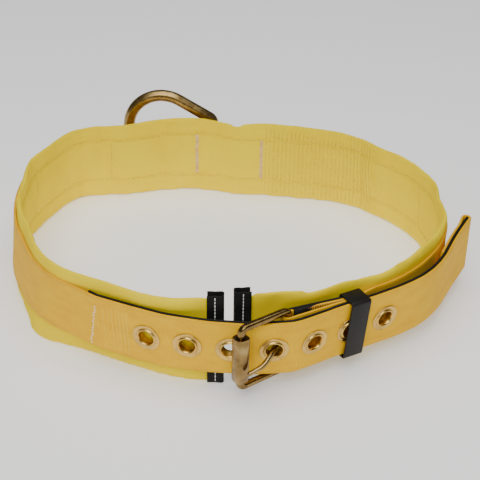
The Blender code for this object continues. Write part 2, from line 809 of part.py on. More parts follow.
def build():
    """Make every piece."""
    clear_scene()
    lemon = material("pad_cloth", (0.95, 0.72, 0.03), 0.8)
    gold = material("webbing", (0.87, 0.53, 0.07), 0.7)
    black = material("black_tape", (0.02, 0.02, 0.02), 0.7)
    rubber = material("keeper_rubber", (0.03, 0.028, 0.028), 0.5)
    brass = material("grommet_brass", (0.75, 0.5, 0.2), 0.3, 1.0)
    bronze = material("buckle_bronze", (0.45, 0.33, 0.2), 0.35, 1.0)
    zinc = material("ring_zinc", (0.55, 0.45, 0.25), 0.35, 1.0)

    pad = pad_rows()
    make_pad(pad, lemon)
    make_binding("pad_binding_left", pad[0], pad[1], black)
    make_binding("pad_binding_right", pad[-1], pad[-2], black)

    tongue, flats = tongue_rows()
    keeper_flat = flats[KEEPER_GROMMET - 1]
    sewn = sewn_rows(pad)
    holes = grommet_cutters(flats)
    belt_path = [*tip_fold(tongue), *tongue, *sewn, *loop_rows(keeper_flat)]
    belt = strip("belt_webbing", belt_path, WEBBING, BELT_LOW, BELT_HIGH, gold)
    cut(belt, holes)
    cut(belt, make_prong_slot())
    core_path = [row for row in offset_rows(tongue, -WEBBING_TO_CORE) if row[0] > CORE_END_X]
    core = strip("tongue_core", core_path, CORE, BELT_LOW, BELT_HIGH, black)
    cut(core, holes)
    strip("buckle_liner", liner_rows(keeper_flat), LINER, BELT_LOW, BELT_HIGH, black)
    for i, flat in enumerate(flats):
        make_grommet(f"grommet_{i + 1}", flat, brass)

    make_frame(bronze)
    make_roller(bronze)
    make_prong(bronze)
    make_keeper(keeper_flat, rubber)

    tab_low = MID_HEIGHT - TAB_HEIGHT / 2
    strip("d_ring_tab", tab_rows(sewn), WEBBING, tab_low, tab_low + TAB_HEIGHT, gold)
    make_ring(zinc)


build()
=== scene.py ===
"""Looks of the padded tongue buckle belt: soft pad, woven straps, fittings and stitching.

Plan tables are in millimetres, as the solids were made: x to the right, y from the
front of the pad to the back. Heights are measured from the floor.
"""
import math

import bmesh
import bpy
from mathutils import Matrix, Vector
from mathutils.kdtree import KDTree


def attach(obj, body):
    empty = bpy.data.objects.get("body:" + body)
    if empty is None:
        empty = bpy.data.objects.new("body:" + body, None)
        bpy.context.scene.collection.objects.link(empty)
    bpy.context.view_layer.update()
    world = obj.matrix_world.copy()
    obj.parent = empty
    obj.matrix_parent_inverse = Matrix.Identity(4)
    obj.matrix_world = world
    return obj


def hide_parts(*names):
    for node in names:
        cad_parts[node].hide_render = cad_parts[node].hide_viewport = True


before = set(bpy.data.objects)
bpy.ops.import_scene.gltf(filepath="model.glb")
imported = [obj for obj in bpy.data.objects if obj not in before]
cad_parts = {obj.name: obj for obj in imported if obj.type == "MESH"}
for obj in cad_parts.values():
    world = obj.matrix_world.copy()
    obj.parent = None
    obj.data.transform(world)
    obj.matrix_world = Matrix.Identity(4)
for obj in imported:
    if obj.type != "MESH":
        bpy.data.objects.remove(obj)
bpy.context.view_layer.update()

MM = 0.001
SHIFT_X = 2.015
SHIFT_Y = -137.921

# Heights of the pad and of the webbing
PAD_HEIGHT = 73.0
MID_HEIGHT = 36.5
WEBBING_WIDTH = 46.0
BELT_LOW = MID_HEIGHT - WEBBING_WIDTH / 2
BELT_HIGH = MID_HEIGHT + WEBBING_WIDTH / 2

# Thicknesses, and the distances between layers that lie on each other
GAP = 0.3
PAD_HALF = 2.25
PAD_PUFF = 1.1
PAD_END_HALF = 1.9
WEBBING = 2.0
CORE = 1.6
LINER = 1.4
BINDING = 1.1
BINDING_REACH = 11.0
BINDING_FOOT = 0.3
BINDING_RISE = 0.5
PAD_END_MARGIN = 2.0
PAD_TO_WEBBING = PAD_HALF + GAP + WEBBING / 2
WEBBING_TO_CORE = WEBBING / 2 + GAP + CORE / 2
WEBBING_TO_LINER = WEBBING / 2 + GAP + LINER / 2
WEBBING_TO_WEBBING = WEBBING + GAP

# The lean of every standing piece is measured outwards from here
RING_CENTRE = (-10.0, 140.0)

# Middle of the pad at belt height, with the height of its upper edge and its lean
PAD_SECTIONS = (
    # x, y, top, lean
    (-11.4, 3.6, 72.5, 1.0),
    (-26.0, 3.8, 73.0, 0.0),
    (-42.0, 4.9, 73.0, -3.0),
    (-57.6, 9.4, 73.0, -4.0),
    (-75.7, 17.3, 73.0, -5.0),
    (-94.0, 26.0, 73.0, -5.0),
    (-112.0, 35.4, 73.0, -4.0),
    (-129.0, 46.6, 73.0, -1.0),
    (-143.0, 61.0, 72.5, 3.0),
    (-153.0, 77.0, 72.0, 6.0),
    (-162.0, 97.0, 72.0, 8.0),
    (-170.0, 118.0, 72.5, 8.0),
    (-175.5, 146.0, 73.0, 8.0),
    (-176.5, 172.0, 73.0, 7.0),
    (-174.0, 196.0, 72.5, 6.0),
    (-166.0, 220.0, 72.0, 6.0),
    (-154.0, 245.0, 72.0, 7.0),
    (-143.0, 258.5, 71.0, 7.0),
    (-126.0, 265.0, 71.0, 6.0),
    (-104.0, 268.0, 71.0, 4.0),
    (-80.0, 275.5, 72.0, 2.0),
    (-58.0, 280.6, 72.5, 0.0),
    (-38.0, 281.0, 73.0, 0.0),
    (-20.0, 278.0, 71.5, 0.0),
    (-2.0, 272.5, 70.5, 0.0),
    (18.0, 272.0, 73.0, 0.0),
    (42.0, 268.5, 72.5, 0.0),
    (66.0, 264.0, 71.5, 2.0),
    (87.0, 258.0, 71.0, 4.0),
    (105.0, 246.5, 71.5, 6.0),
    (121.0, 230.5, 72.0, 8.0),
    (136.0, 213.0, 72.0, 7.0),
    (148.0, 193.0, 72.0, 5.0),
    (154.5, 170.0, 72.5, 3.0),
    (156.0, 146.0, 73.0, 1.0),
    (154.0, 122.0, 73.0, -1.0),
    (147.5, 101.0, 73.0, -2.0),
    (137.0, 82.5, 73.0, -4.0),
    (124.0, 66.0, 72.0, -6.0),
    (108.0, 51.0, 70.5, -7.0),
    (92.0, 41.0, 69.0, -8.0),
    (71.5, 32.8, 68.0, -8.0),
    (48.0, 20.6, 70.0, -6.0),
    (26.0, 14.2, 71.5, -4.0),
    (10.0, 11.0, 72.0, -2.0),
    (-2.3, 9.2, 72.5, -1.0),
)

# Outer middle line of the tongue, from its tip to where it is sewn on the left
TONGUE_SECTIONS = (
    # x, y, lean
    (178.0, 133.0, 0.0),
    (169.5, 117.0, 0.0),
    (160.5, 99.0, -1.0),
    (148.5, 74.0, -3.0),
    (132.5, 53.0, -5.0),
    (111.0, 36.6, -7.0),
    (93.0, 26.0, -8.0),
    (79.0, 18.6, -8.0),
    (67.0, 11.8, -8.2),
    (54.5, 3.4, -8.4),
    (41.0, -4.2, -8.6),
    (30.0, -7.6, -8.8),
    (17.0, -9.0, -9.0),
    (-4.0, -8.4, -8.5),
    (-20.0, -6.8, -7.5),
    (-37.0, -3.8, -6.5),
    (-57.0, 1.6, -5.0),
    (-78.0, 10.6, -4.0),
    (-98.0, 19.8, -4.5),
)
TONGUE_STEP = 11.0
TONGUE_RETURN = 66.0
TONGUE_RETURN_START = 9.0
TONGUE_FOLD_RADIUS = 3.0
SEWN_LEFT_X = -118.0
SEWN_RIGHT_X = 90.0

# Eyelets
GROMMET_COUNT = 7
GROMMET_PITCH = 29.5
GROMMET_AT_PRONG = 4
PRONG_GROMMET_X = 24.0
GROMMET_FLAT = 11.5
GROMMET_BORE = 5.6
GROMMET_BARREL = 6.6
GROMMET_FLANGE = 10.0
GROMMET_DOME = 1.3
GROMMET_BACK = 0.8
GROMMET_SINK = 0.25
GROMMET_SPREAD = 0.4
HOLE_SIDES = 40
HOLE_PLAY = 0.1
HOLE_DEPTH = 9.0

# Buckle
FRAME_FRONT = (1.5, -19.5)
FRAME_DIRECTION = (0.806, 0.592)
FRAME_LENGTH = 38.0
FRAME_HALF_HEIGHT = 26.9
FRAME_STOCK = 2.6
FRAME_BEND = 4.0
FRAME_LEAN = -9.0
ROLLER_RADIUS = 5.5
ROLLER_HALF_LENGTH = 19.5
ROLLER_SQUARENESS = 3.4
ROLLER_SHARE = 0.93
PRONG_RADIUS = 1.9
PRONG_EYE_WALL = 2.0
PRONG_EYE_HALF = 2.0
PRONG_SLOT_PLAY = 0.6
PRONG_PATH = (
    # x, y, height
    (28.5, 1.5, 36.5),
    (25.6, -2.6, 36.6),
    (23.7, -8.6, 36.7),
    (21.2, -14.6, 35.2),
    (17.2, -19.2, 31.6),
    (12.6, -21.8, 29.4),
    (6.4, -24.8, 27.4),
)

# Keeper
KEEPER_GROMMET = 6
KEEPER_WIDTH = 15.5
KEEPER_WALL = 1.6
KEEPER_SHIFT = 4.3
KEEPER_CLEARANCE = 0.5
KEEPER_CORNER = 2.2
KEEPER_EASE = 0.45

# Loop round the back bar
LOOP_STEPS = 8
LOOP_START = 80.0
LOOP_TURN = 200.0
FOLD_END = -3.0
STRAIGHT_PAST_KEEPER = 1.0

# Back ring and its tab
RING_STOCK = 5.1
RING_HALF_WIDTH = 30.3
RING_LEG = 38.0
RING_CORNER = 7.0
RING_BAR = (-38.3, 294.4, 36.0)
RING_TILT = 30.0
RING_REST_SWING = 3.0
TAB_HEIGHT = 36.0
TAB_STATIONS = (-51.0, -44.0, -33.0, -21.0, -10.0, 5.0, 20.0)
TAB_POCKET_RIGHT = -21.0
TAB_FOLD_STEPS = 6

# Webbing that is rippled and creased only in front of this line
FRONT_Y = 40.0

# Camera as it stood for the photograph
CAMERA_SPOT = (0.0, -603.8, 487.7)
CAMERA_DOWN = 31.5
CAMERA_ROLL = 0.8
LENS = 82.5
SENSOR = 36.0


# Plan lines

def outwards(x, y):
    """Unit plan vector that points away from the middle of the waist."""
    return Vector((x - RING_CENTRE[0], y - RING_CENTRE[1])).normalized()


def stand(x, y, height, lean):
    """Point of a standing piece, leaned about belt height, in metres."""
    shift = outwards(x, y) * (lean * (MID_HEIGHT - height) / PAD_HEIGHT)
    return Vector((x + shift.x + SHIFT_X, y + shift.y + SHIFT_Y, height)) * MM


def stand_beside(x, y, height, lean, normal, distance):
    """Point of a band's face, leaned as the band's middle is."""
    return stand(x, y, height, lean) + Vector((normal.x, normal.y, 0.0)) * (distance * MM)


def smooth_rows(rows, steps):
    """Rows on a smooth curve through the given rows, all columns together."""
    out = []
    last = len(rows) - 1
    for i in range(last):
        before = rows[max(i - 1, 0)]
        here = rows[i]
        after = rows[i + 1]
        beyond = rows[min(i + 2, last)]
        for k in range(steps):
            t = k / steps
            out.append(tuple(
                0.5 * (2 * b + (c - a) * t + (2 * a - 5 * b + 4 * c - d) * t ** 2
                       + (3 * b - a - 3 * c + d) * t ** 3)
                for a, b, c, d in zip(before, here, after, beyond)))
    out.append(tuple(rows[last]))
    return out


def mix(a, b, t):
    """Row part of the way from one row to another."""
    return tuple(p + (q - p) * t for p, q in zip(a, b))


def lengths(rows):
    """Distance along the plan line to each row."""
    out = [0.0]
    for a, b in zip(rows, rows[1:]):
        out.append(out[-1] + math.hypot(b[0] - a[0], b[1] - a[1]))
    return out


def row_at(rows, marks, distance):
    """Row at a distance along the plan line."""
    for i in range(len(rows) - 1):
        if distance <= marks[i + 1] or i == len(rows) - 2:
            return mix(rows[i], rows[i + 1], (distance - marks[i]) / (marks[i + 1] - marks[i]))
    return rows[-1]


def distance_at_x(rows, marks, x):
    """Distance along the plan line where it first crosses an x."""
    for i in range(len(rows) - 1):
        a, b = rows[i][0], rows[i + 1][0]
        if min(a, b) <= x <= max(a, b):
            return marks[i] + (marks[i + 1] - marks[i]) * (x - a) / (b - a)
    return marks[-1]


def mitres(rows):
    """Left-hand normal of each row, lengthened so that a wall keeps its thickness."""
    ways = []
    for a, b in zip(rows, rows[1:]):
        ways.append(Vector((b[0] - a[0], b[1] - a[1])).normalized())
    out = []
    for i in range(len(rows)):
        first = ways[max(i - 1, 0)]
        second = ways[min(i, len(ways) - 1)]
        middle = (first + second).normalized()
        out.append(Vector((-middle.y, middle.x)) / max(middle.dot(first), 0.3))
    return out


def offset_rows(rows, distance):
    """Rows moved to the left of their way, with their other columns kept."""
    return [(row[0] + n.x * distance, row[1] + n.y * distance, *row[2:])
            for row, n in zip(rows, mitres(rows))]


def rounded_rows(rows, reach, steps=4):
    """Rows with each corner rounded, as woven strap bends."""
    out = [rows[0]]
    for before, here, after in zip(rows, rows[1:], rows[2:]):
        back = math.hypot(here[0] - before[0], here[1] - before[1])
        on = math.hypot(after[0] - here[0], after[1] - here[1])
        start = mix(here, before, min(reach, 0.45 * back) / back)
        finish = mix(here, after, min(reach, 0.45 * on) / on)
        for k in range(steps + 1):
            t = k / steps
            out.append(mix(mix(start, here, t), mix(here, finish, t), t))
    out.append(rows[-1])
    return out


def even_rows(rows, step):
    """Rows with no stretch longer than a step, every given row kept."""
    out = [rows[0]]
    for a, b in zip(rows, rows[1:]):
        count = max(1, math.ceil(math.hypot(b[0] - a[0], b[1] - a[1]) / step))
        out += [mix(a, b, k / count) for k in range(1, count + 1)]
    return out


# Where the pieces run

def pad_rows(steps):
    """Pad rows on a smooth curve, straight at the two bound ends."""
    rows = smooth_rows(PAD_SECTIONS, 2)
    marks = lengths(rows)
    reach = BINDING_REACH + PAD_END_MARGIN
    start = row_at(rows, marks, reach)
    finish = row_at(rows, marks, marks[-1] - reach)
    kept = [row for row, mark in zip(rows, marks) if reach + 4 < mark < marks[-1] - reach - 4]
    return [rows[0], *smooth_rows([start, *kept, finish], steps), rows[-1]]


def tongue_rows():
    """Stations of the tongue, flat at each eyelet, and those flats."""
    curve = smooth_rows(TONGUE_SECTIONS, 6)
    marks = lengths(curve)
    at_prong = distance_at_x(curve, marks, PRONG_GROMMET_X)
    middles = [at_prong + (GROMMET_AT_PRONG - 1 - i) * GROMMET_PITCH for i in range(GROMMET_COUNT)]
    first = middles[-1] - GROMMET_FLAT
    last = middles[0] + GROMMET_FLAT
    steps = int(first // TONGUE_STEP)
    stations = [first * k / steps for k in range(steps)]
    for mark in reversed(middles):
        stations += [mark - GROMMET_FLAT, mark + GROMMET_FLAT]
    stations += [(last + marks[-1]) / 2, marks[-1]]
    rows = [row_at(curve, marks, mark) for mark in stations]
    flats = [(row_at(curve, marks, mark - GROMMET_FLAT), row_at(curve, marks, mark + GROMMET_FLAT))
             for mark in middles]
    return rows, flats


def frame_at(flat):
    """Middle, way along and outward normal of a flat stretch, and its lean."""
    a, b = flat
    middle = Vector(((a[0] + b[0]) / 2, (a[1] + b[1]) / 2))
    way = Vector((b[0] - a[0], b[1] - a[1])).normalized()
    return middle, way, Vector((-way.y, way.x)), (a[2] + b[2]) / 2


def beside(flat, along, out):
    """Plan row beside a flat stretch of the tongue."""
    middle, way, normal, lean = frame_at(flat)
    spot = middle + way * along + normal * out
    return (spot.x, spot.y, lean)


def tip_fold(rows):
    """Rows of the webbing's end, folded inwards over the core at the tip."""
    tip = Vector(rows[0][:2])
    way = (tip - Vector(rows[1][:2])).normalized()
    inwards = Vector((-way.y, way.x))
    centre = tip + inwards * TONGUE_FOLD_RADIUS
    fold = []
    for k in range(1, 7):
        angle = math.pi * k / 6
        spot = centre + (way * math.sin(angle) - inwards * math.cos(angle)) * TONGUE_FOLD_RADIUS
        fold.append((spot.x, spot.y, rows[0][2]))
    marks = lengths(rows)
    inner = offset_rows(rows, -2 * WEBBING_TO_CORE)
    back = [row for row, mark in zip(inner, marks) if TONGUE_RETURN_START < mark < TONGUE_RETURN]
    return [*back[::-1], *fold[::-1]]


def stack_offsets():
    """Distances out from the tongue's middle line of what lies in the keeper."""
    grommet_back = WEBBING_TO_CORE + CORE / 2 + GAP + GROMMET_BACK
    outer_run = -(grommet_back + GAP + WEBBING / 2)
    inner_run = outer_run - WEBBING_TO_WEBBING
    liner = inner_run - WEBBING_TO_LINER
    return {
        "front": WEBBING / 2 + GAP + GROMMET_DOME,
        "outer_run": outer_run,
        "inner_run": inner_run,
        "liner": liner,
        "back": liner - LINER / 2,
    }


def back_bar():
    """Plan middle of the buckle's back bar."""
    return Vector(FRAME_FRONT) + Vector(FRAME_DIRECTION) * FRAME_LENGTH


def loop_rows(flat):
    """Rows through the keeper, round the buckle's back bar and back to the keeper."""
    stack = stack_offsets()
    right = -KEEPER_SHIFT - KEEPER_WIDTH / 2 - STRAIGHT_PAST_KEEPER
    left = -KEEPER_SHIFT + KEEPER_WIDTH / 2 + STRAIGHT_PAST_KEEPER
    enters = beside(flat, right, stack["inner_run"])
    leaves = beside(flat, left, stack["inner_run"])
    bar = back_bar()
    radius = FRAME_STOCK + GAP + WEBBING / 2
    reach = (Vector(leaves[:2]) - bar).normalized()
    across = Vector((-reach.y, reach.x))
    loop = []
    for k in range(LOOP_STEPS + 1):
        angle = math.radians(LOOP_START + LOOP_TURN * k / LOOP_STEPS)
        spot = bar + (reach * math.cos(angle) + across * math.sin(angle)) * radius
        loop.append((spot.x, spot.y, FRAME_LEAN))
    back = beside(flat, left, stack["outer_run"])
    rows = [enters, leaves]
    rows += [mix(leaves, loop[0], k / 4) for k in range(1, 4)]
    rows += loop
    rows += [mix(loop[-1], back, k / 4) for k in range(1, 5)]
    rows.append(beside(flat, FOLD_END - KEEPER_SHIFT, stack["outer_run"]))
    return rows


def liner_rows(flat):
    """Rows of the black liner from under the keeper to the buckle's back bar."""
    out = stack_offsets()["liner"]
    start = beside(flat, FOLD_END - KEEPER_SHIFT, out)
    leaves = beside(flat, -KEEPER_SHIFT + KEEPER_WIDTH / 2 + STRAIGHT_PAST_KEEPER, out)
    bar = back_bar()
    reach = (Vector(leaves[:2]) - bar).normalized()
    across = Vector((-reach.y, reach.x))
    spot = bar + across * (FRAME_STOCK + GAP + WEBBING / 2 + WEBBING_TO_LINER)
    finish = (spot.x, spot.y, FRAME_LEAN)
    return [start, leaves, *[mix(leaves, finish, k / 4) for k in range(1, 5)]]


def sewn_rows(rows):
    """Belt rows on the outside of the pad, from the left front to the right front."""
    marks = lengths(rows)
    middle = marks[-1] / 2
    plan = [(x, y, lean) for x, y, top, lean in rows]
    moved = offset_rows(plan, PAD_TO_WEBBING)
    kept = []
    for row, base, mark in zip(moved, plan, marks):
        if mark < middle and base[0] > SEWN_LEFT_X and base[1] < RING_CENTRE[1]:
            continue
        if mark > middle and base[0] < SEWN_RIGHT_X and base[1] < RING_CENTRE[1]:
            continue
        kept.append(row)
    return kept


def tab_rows(belt):
    """Plan rows of the ring's tab, from its right end round the pocket and back."""
    back = [row for row in belt if row[1] > RING_CENTRE[1]]
    base = offset_rows(back, WEBBING_TO_WEBBING)
    marks = lengths(base)
    under = [row_at(base, marks, distance_at_x(base, marks, x)) for x in TAB_STATIONS]
    over = offset_rows(under, WEBBING_TO_WEBBING)
    closed = [row for row, x in zip(over, TAB_STATIONS) if x > TAB_POCKET_RIGHT]
    left = TAB_STATIONS[0]
    low = under[0][1]
    high = RING_BAR[1] + RING_STOCK + GAP + WEBBING / 2
    radius = (high - low) / 2
    fold = []
    for k in range(1, TAB_FOLD_STEPS):
        angle = math.radians(270 - 180 * k / TAB_FOLD_STEPS)
        fold.append((left + radius * math.cos(angle), low + radius * (1 + math.sin(angle)), 0.0))
    pocket = [(left, high, 0.0), (TAB_POCKET_RIGHT, high, 0.0)]
    return [*under[::-1], *fold, *pocket, *closed]


def local_frame(flat):
    """Origin in metres and the three unit vectors of a flat, leaning stretch."""
    middle, way, normal, lean = frame_at(flat)
    origin = stand(middle.x, middle.y, MID_HEIGHT, lean)
    up = (stand(middle.x, middle.y, MID_HEIGHT + 10, lean) - origin).normalized()
    along = Vector((way.x, way.y, 0.0))
    out = up.cross(along).normalized()
    if out.dot(Vector((normal.x, normal.y, 0.0))) < 0:
        out = -out
    return origin, along, up, out


# Modelling by hand

def new_piece(name, mesh):
    """Object for a mesh, in the scene."""
    item = bpy.data.objects.new(name, mesh)
    bpy.context.scene.collection.objects.link(item)
    return item


def tidy_selection():
    """Leave edit mode and deselect everything."""
    if bpy.context.object and bpy.context.object.mode != "OBJECT":
        bpy.ops.object.mode_set(mode="OBJECT")
    bpy.ops.object.select_all(action="DESELECT")


def take(item):
    """Make one object the only selected and active one."""
    tidy_selection()
    item.select_set(True)
    bpy.context.view_layer.objects.active = item


def apply_modifiers(item):
    """Apply every modifier of a piece, in order."""
    take(item)
    for step in list(item.modifiers):
        bpy.ops.object.modifier_apply(modifier=step.name)


def named(name):
    """Name the active object and its mesh."""
    item = bpy.context.object
    item.name = name
    item.data.name = name
    return item


def finish_faces(item, sharp=50.0):
    """Merge doubles, turn faces outwards and shade a piece smooth."""
    take(item)
    bpy.ops.object.mode_set(mode="EDIT")
    bpy.ops.mesh.select_all(action="SELECT")
    bpy.ops.mesh.remove_doubles(threshold=0.00001)
    bpy.ops.mesh.normals_make_consistent(inside=False)
    bpy.ops.object.mode_set(mode="OBJECT")
    bpy.ops.object.shade_smooth_by_angle(angle=math.radians(sharp))
    return item


def cut_away(item, tool):
    """Cut a piece with the shape of another, which is then gone."""
    step = item.modifiers.new("cut", "BOOLEAN")
    step.object = tool
    step.solver = "EXACT"
    apply_modifiers(item)
    bpy.data.objects.remove(tool, do_unlink=True)


def subdivide_once(item):
    """Round a piece off by one subdivision, not yet applied."""
    smoother = item.modifiers.new("smoother", "SUBSURF")
    smoother.levels = 1
    smoother.render_levels = 1


def place(item, spot):
    """Move every vertex of a piece modelled flat, in millimetres, to its place."""
    if item.mode == "EDIT":
        bpy.ops.object.mode_set(mode="OBJECT")
    for vertex in item.data.vertices:
        vertex.co = spot(vertex.co / MM)
    item.data.update()
    return item


def dress(item, surface, body, slot, *nodes):
    """Give a piece its material and body, and hide the solids that it stands for; the slot is not
    used.
    """
    item.data.materials.clear()
    item.data.materials.append(surface)
    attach(item, body)
    if nodes:
        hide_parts(*nodes)
    return item


def bar_start(name, radius, sides, at, squareness=2.0):
    """Open ring of a bar's section, lying level, ready to be drawn out along +Z."""
    tidy_selection()
    bpy.ops.mesh.primitive_circle_add(vertices=sides, radius=radius * MM, location=Vector(at) * MM)
    bpy.ops.object.transform_apply(location=True, rotation=True, scale=True)
    item = named(name)
    centre = Vector(at) * MM
    for vertex in item.data.vertices:
        spoke = vertex.co - centre
        full = (abs(spoke.x) ** squareness + abs(spoke.y) ** squareness) ** (1 / squareness)
        vertex.co = centre + spoke * (radius * MM / full)
    bpy.ops.object.mode_set(mode="EDIT")
    bpy.ops.mesh.select_all(action="SELECT")
    return item


def bar_on(move, steps=1):
    """Draw the bar's open end straight on, in equal steps."""
    for _ in range(steps):
        bpy.ops.mesh.extrude_region_move(
            TRANSFORM_OT_translate={"value": Vector(move) * (MM / steps)})


def bar_bend(centre, axis, angle, steps):
    """Bend the bar's open end round an axis."""
    bpy.ops.mesh.spin(steps=steps, dupli=False, angle=-math.radians(angle),
                      center=Vector(centre) * MM, axis=axis)


def turned_piece(name, profile, steps):
    """Ring spun from a closed outline of radius and height round the Z axis."""
    tidy_selection()
    mesh = bpy.data.meshes.new(name)
    count = len(profile)
    mesh.from_pydata([(r * MM, 0.0, h * MM) for r, h in profile],
                     [(i, (i + 1) % count) for i in range(count)], [])
    item = new_piece(name, mesh)
    take(item)
    bpy.ops.object.mode_set(mode="EDIT")
    bpy.ops.mesh.select_all(action="SELECT")
    bpy.ops.mesh.spin(steps=steps, dupli=False, angle=2 * math.pi,
                      center=(0, 0, 0), axis=(0, 0, 1))
    bpy.ops.object.mode_set(mode="OBJECT")
    return finish_faces(item)


def two_ended(lower, *middle):
    """Closed outline from the outline of a sleeve's lower end and its mirror image."""
    return [*lower, *middle, *[(radius, -height) for radius, height in reversed(lower)]]


# Soft goods

SELVEDGE = 0.12
SELVEDGE_REACH = 2.2
STRAP_STEP = 2.5
STRAP_ACROSS = 22
ROUND_EDGE = (math.pi / 4, math.pi / 2, 3 * math.pi / 4)


def soft_mesh(name, sections, marks, heights):
    """Closed solid through sections, with a pattern map of run and height in metres."""
    bm = bmesh.new()
    weave = bm.loops.layers.uv.new("weave")
    rings = [[bm.verts.new(point) for point in section] for section in sections]
    count = len(sections[0])
    for i in range(len(rings) - 1):
        for j in range(count):
            k = (j + 1) % count
            face = bm.faces.new((rings[i][j], rings[i][k], rings[i + 1][k], rings[i + 1][j]))
            corners = ((i, j), (i, k), (i + 1, k), (i + 1, j))
            for loop, (run, up) in zip(face.loops, corners):
                loop[weave].uv = (marks[run] * MM, heights[up] * MM)
    for ring, mark in ((rings[0], marks[0]), (rings[-1], marks[-1])):
        face = bm.faces.new(ring)
        for loop in face.loops:
            loop[weave].uv = (mark * MM, heights[ring.index(loop.vert)] * MM)
    bmesh.ops.recalc_face_normals(bm, faces=bm.faces)
    mesh = bpy.data.meshes.new(name)
    bm.to_mesh(mesh)
    bm.free()
    mesh.shade_smooth()
    mesh.set_sharp_from_angle(angle=math.radians(60))
    return new_piece(name, mesh)


def strap_profile(low, high, thickness, across):
    """Height and distance out round a woven strap, from its lower edge up the outside."""
    half = thickness / 2
    outside = []
    for k in range(across + 1):
        height = low + half + (high - low - thickness) * k / across
        near = min(height - low, high - height)
        bead = SELVEDGE * max(0.0, 1.0 - near / SELVEDGE_REACH)
        outside.append((height, half + bead))
    top = [(high - half + half * math.sin(a), half * math.cos(a)) for a in ROUND_EDGE]
    inside = [(height, -out) for height, out in reversed(outside)]
    foot = [(low + half - half * math.sin(a), -half * math.cos(a)) for a in ROUND_EDGE]
    return [*outside, *top, *inside, *foot]


def finer(line, parts, margin=4.0):
    """Rows split more finely where the tongue is rippled or creased."""
    spans = ((RIPPLE_LEFT, RIPPLE_RIGHT), (CREASE_LEFT, CREASE_RIGHT))
    out = []
    for a, b in zip(line, line[1:]):
        near = a[1] < FRONT_Y and any(left - margin < a[0] < right + margin
                                      for left, right in spans)
        for k in range(parts if near else 1):
            out.append(tuple(mix(a, b, k / parts)))
    return [*out, line[-1]]


def thinned(line, step, turn=5.0, least=0.12):
    """Rows kept only where the strap bends or a step has passed."""
    kept = [line[0]]
    heading = Vector((line[1][0] - line[0][0], line[1][1] - line[0][1]))
    for here, after in zip(line[1:], line[2:]):
        run = math.hypot(here[0] - kept[-1][0], here[1] - kept[-1][1])
        ahead = Vector((after[0] - here[0], after[1] - here[1]))
        turned = ahead.length > 1e-6 and ahead.angle(heading, 0.0) > math.radians(turn)
        if run > 0.99 * step or (turned and run > least):
            kept.append(here)
            heading = ahead
    return [*kept, line[-1]]


def strap(name, rows, low, high, thickness, relief=None, bend=3.0, across=STRAP_ACROSS):
    """Woven strap that stands on edge along plan rows of x, y and lean."""
    line = thinned(even_rows(rounded_rows(rows, bend), STRAP_STEP), STRAP_STEP)
    if relief:
        line = finer(line, 5)
    marks = lengths(line)
    profile = strap_profile(low, high, thickness, across)
    sections = []
    for (x, y, lean), n in zip(line, mitres(line)):
        section = []
        for height, out in profile:
            raised = relief(x, y, height) if relief else 0.0
            section.append(stand_beside(x, y, height, lean, n, out + raised))
        sections.append(section)
    return soft_mesh(name, sections, marks, [height for height, out in profile])


def punch(item, flats):
    """Cut the round eyelet holes."""
    for flat in flats:
        origin, along, up, out = local_frame(flat)
        tidy_selection()
        bpy.ops.mesh.primitive_cylinder_add(
            vertices=HOLE_SIDES, radius=(GROMMET_BARREL + HOLE_PLAY) * MM, depth=HOLE_DEPTH * MM,
            location=origin - out * (WEBBING_TO_CORE * MM / 2),
            rotation=Matrix((up.cross(out), up, out)).transposed().to_euler())
        cut_away(item, bpy.context.object)


def bump(distance, width):
    """Height of a smooth bump at a distance from its crest."""
    return math.exp(-(distance / width) ** 2)


# Ripples of the webbing where it is gathered beside the white tack
RIPPLE_LEFT = -98.5
RIPPLE_RIGHT = -80.0
RIPPLE_PITCH = 2.9
RIPPLE_DEPTH = 0.5

# Fine creases along its lower edge, right of the prong
CREASE_LEFT = 33.0
CREASE_RIGHT = 47.0
CREASE_TOP = 30.0
CREASE_PITCH = 2.4
CREASE_DEPTH = 0.2


def webbing_relief(x, y, height):
    """Ripples on the tongue left of its first eyelet and fine creases under the prong."""
    if y > FRONT_Y:
        return 0.0
    raised = 0.0
    if RIPPLE_LEFT < x < RIPPLE_RIGHT:
        middle = math.sin(math.pi * (x - RIPPLE_LEFT) / (RIPPLE_RIGHT - RIPPLE_LEFT))
        fade = min(1.0, (BELT_HIGH - 3.0 - height) / 6.0, (height - BELT_LOW - 4.0) / 6.0)
        crest = math.cos(2 * math.pi * (x - RIPPLE_LEFT) / RIPPLE_PITCH)
        raised += RIPPLE_DEPTH * crest * math.sqrt(middle) * max(0.0, fade)
    if CREASE_LEFT < x < CREASE_RIGHT and y < 0.0:
        middle = math.sin(math.pi * (x - CREASE_LEFT) / (CREASE_RIGHT - CREASE_LEFT))
        fade = max(0.0, min(1.0, (CREASE_TOP - height) / 8.0))
        raised += CREASE_DEPTH * math.cos(2 * math.pi * x / CREASE_PITCH) * middle * fade
    return raised


def make_belt(tongue, flats, sewn, keeper_flat):
    """The one long webbing, with its eyelet holes and the prong's slot."""
    path = [*tip_fold(tongue), *tongue, *sewn, *loop_rows(keeper_flat)]
    belt = strap("belt_strap", path, BELT_LOW, BELT_HIGH, WEBBING, webbing_relief)
    punch(belt, flats)
    bar = back_bar()
    tidy_selection()
    wide = 2 * (FRAME_STOCK + GAP + PRONG_EYE_WALL + PRONG_SLOT_PLAY) * MM
    tall = 2 * (PRONG_EYE_HALF + PRONG_SLOT_PLAY) * MM
    bpy.ops.mesh.primitive_cube_add(size=1.0, scale=(wide, wide, tall),
                                    location=stand(bar.x, bar.y, MID_HEIGHT, FRAME_LEAN))
    cut_away(belt, bpy.context.object)
    return dress(belt, SURFACES["webbing"], "belt", "webbing", "belt_webbing")


# Pad

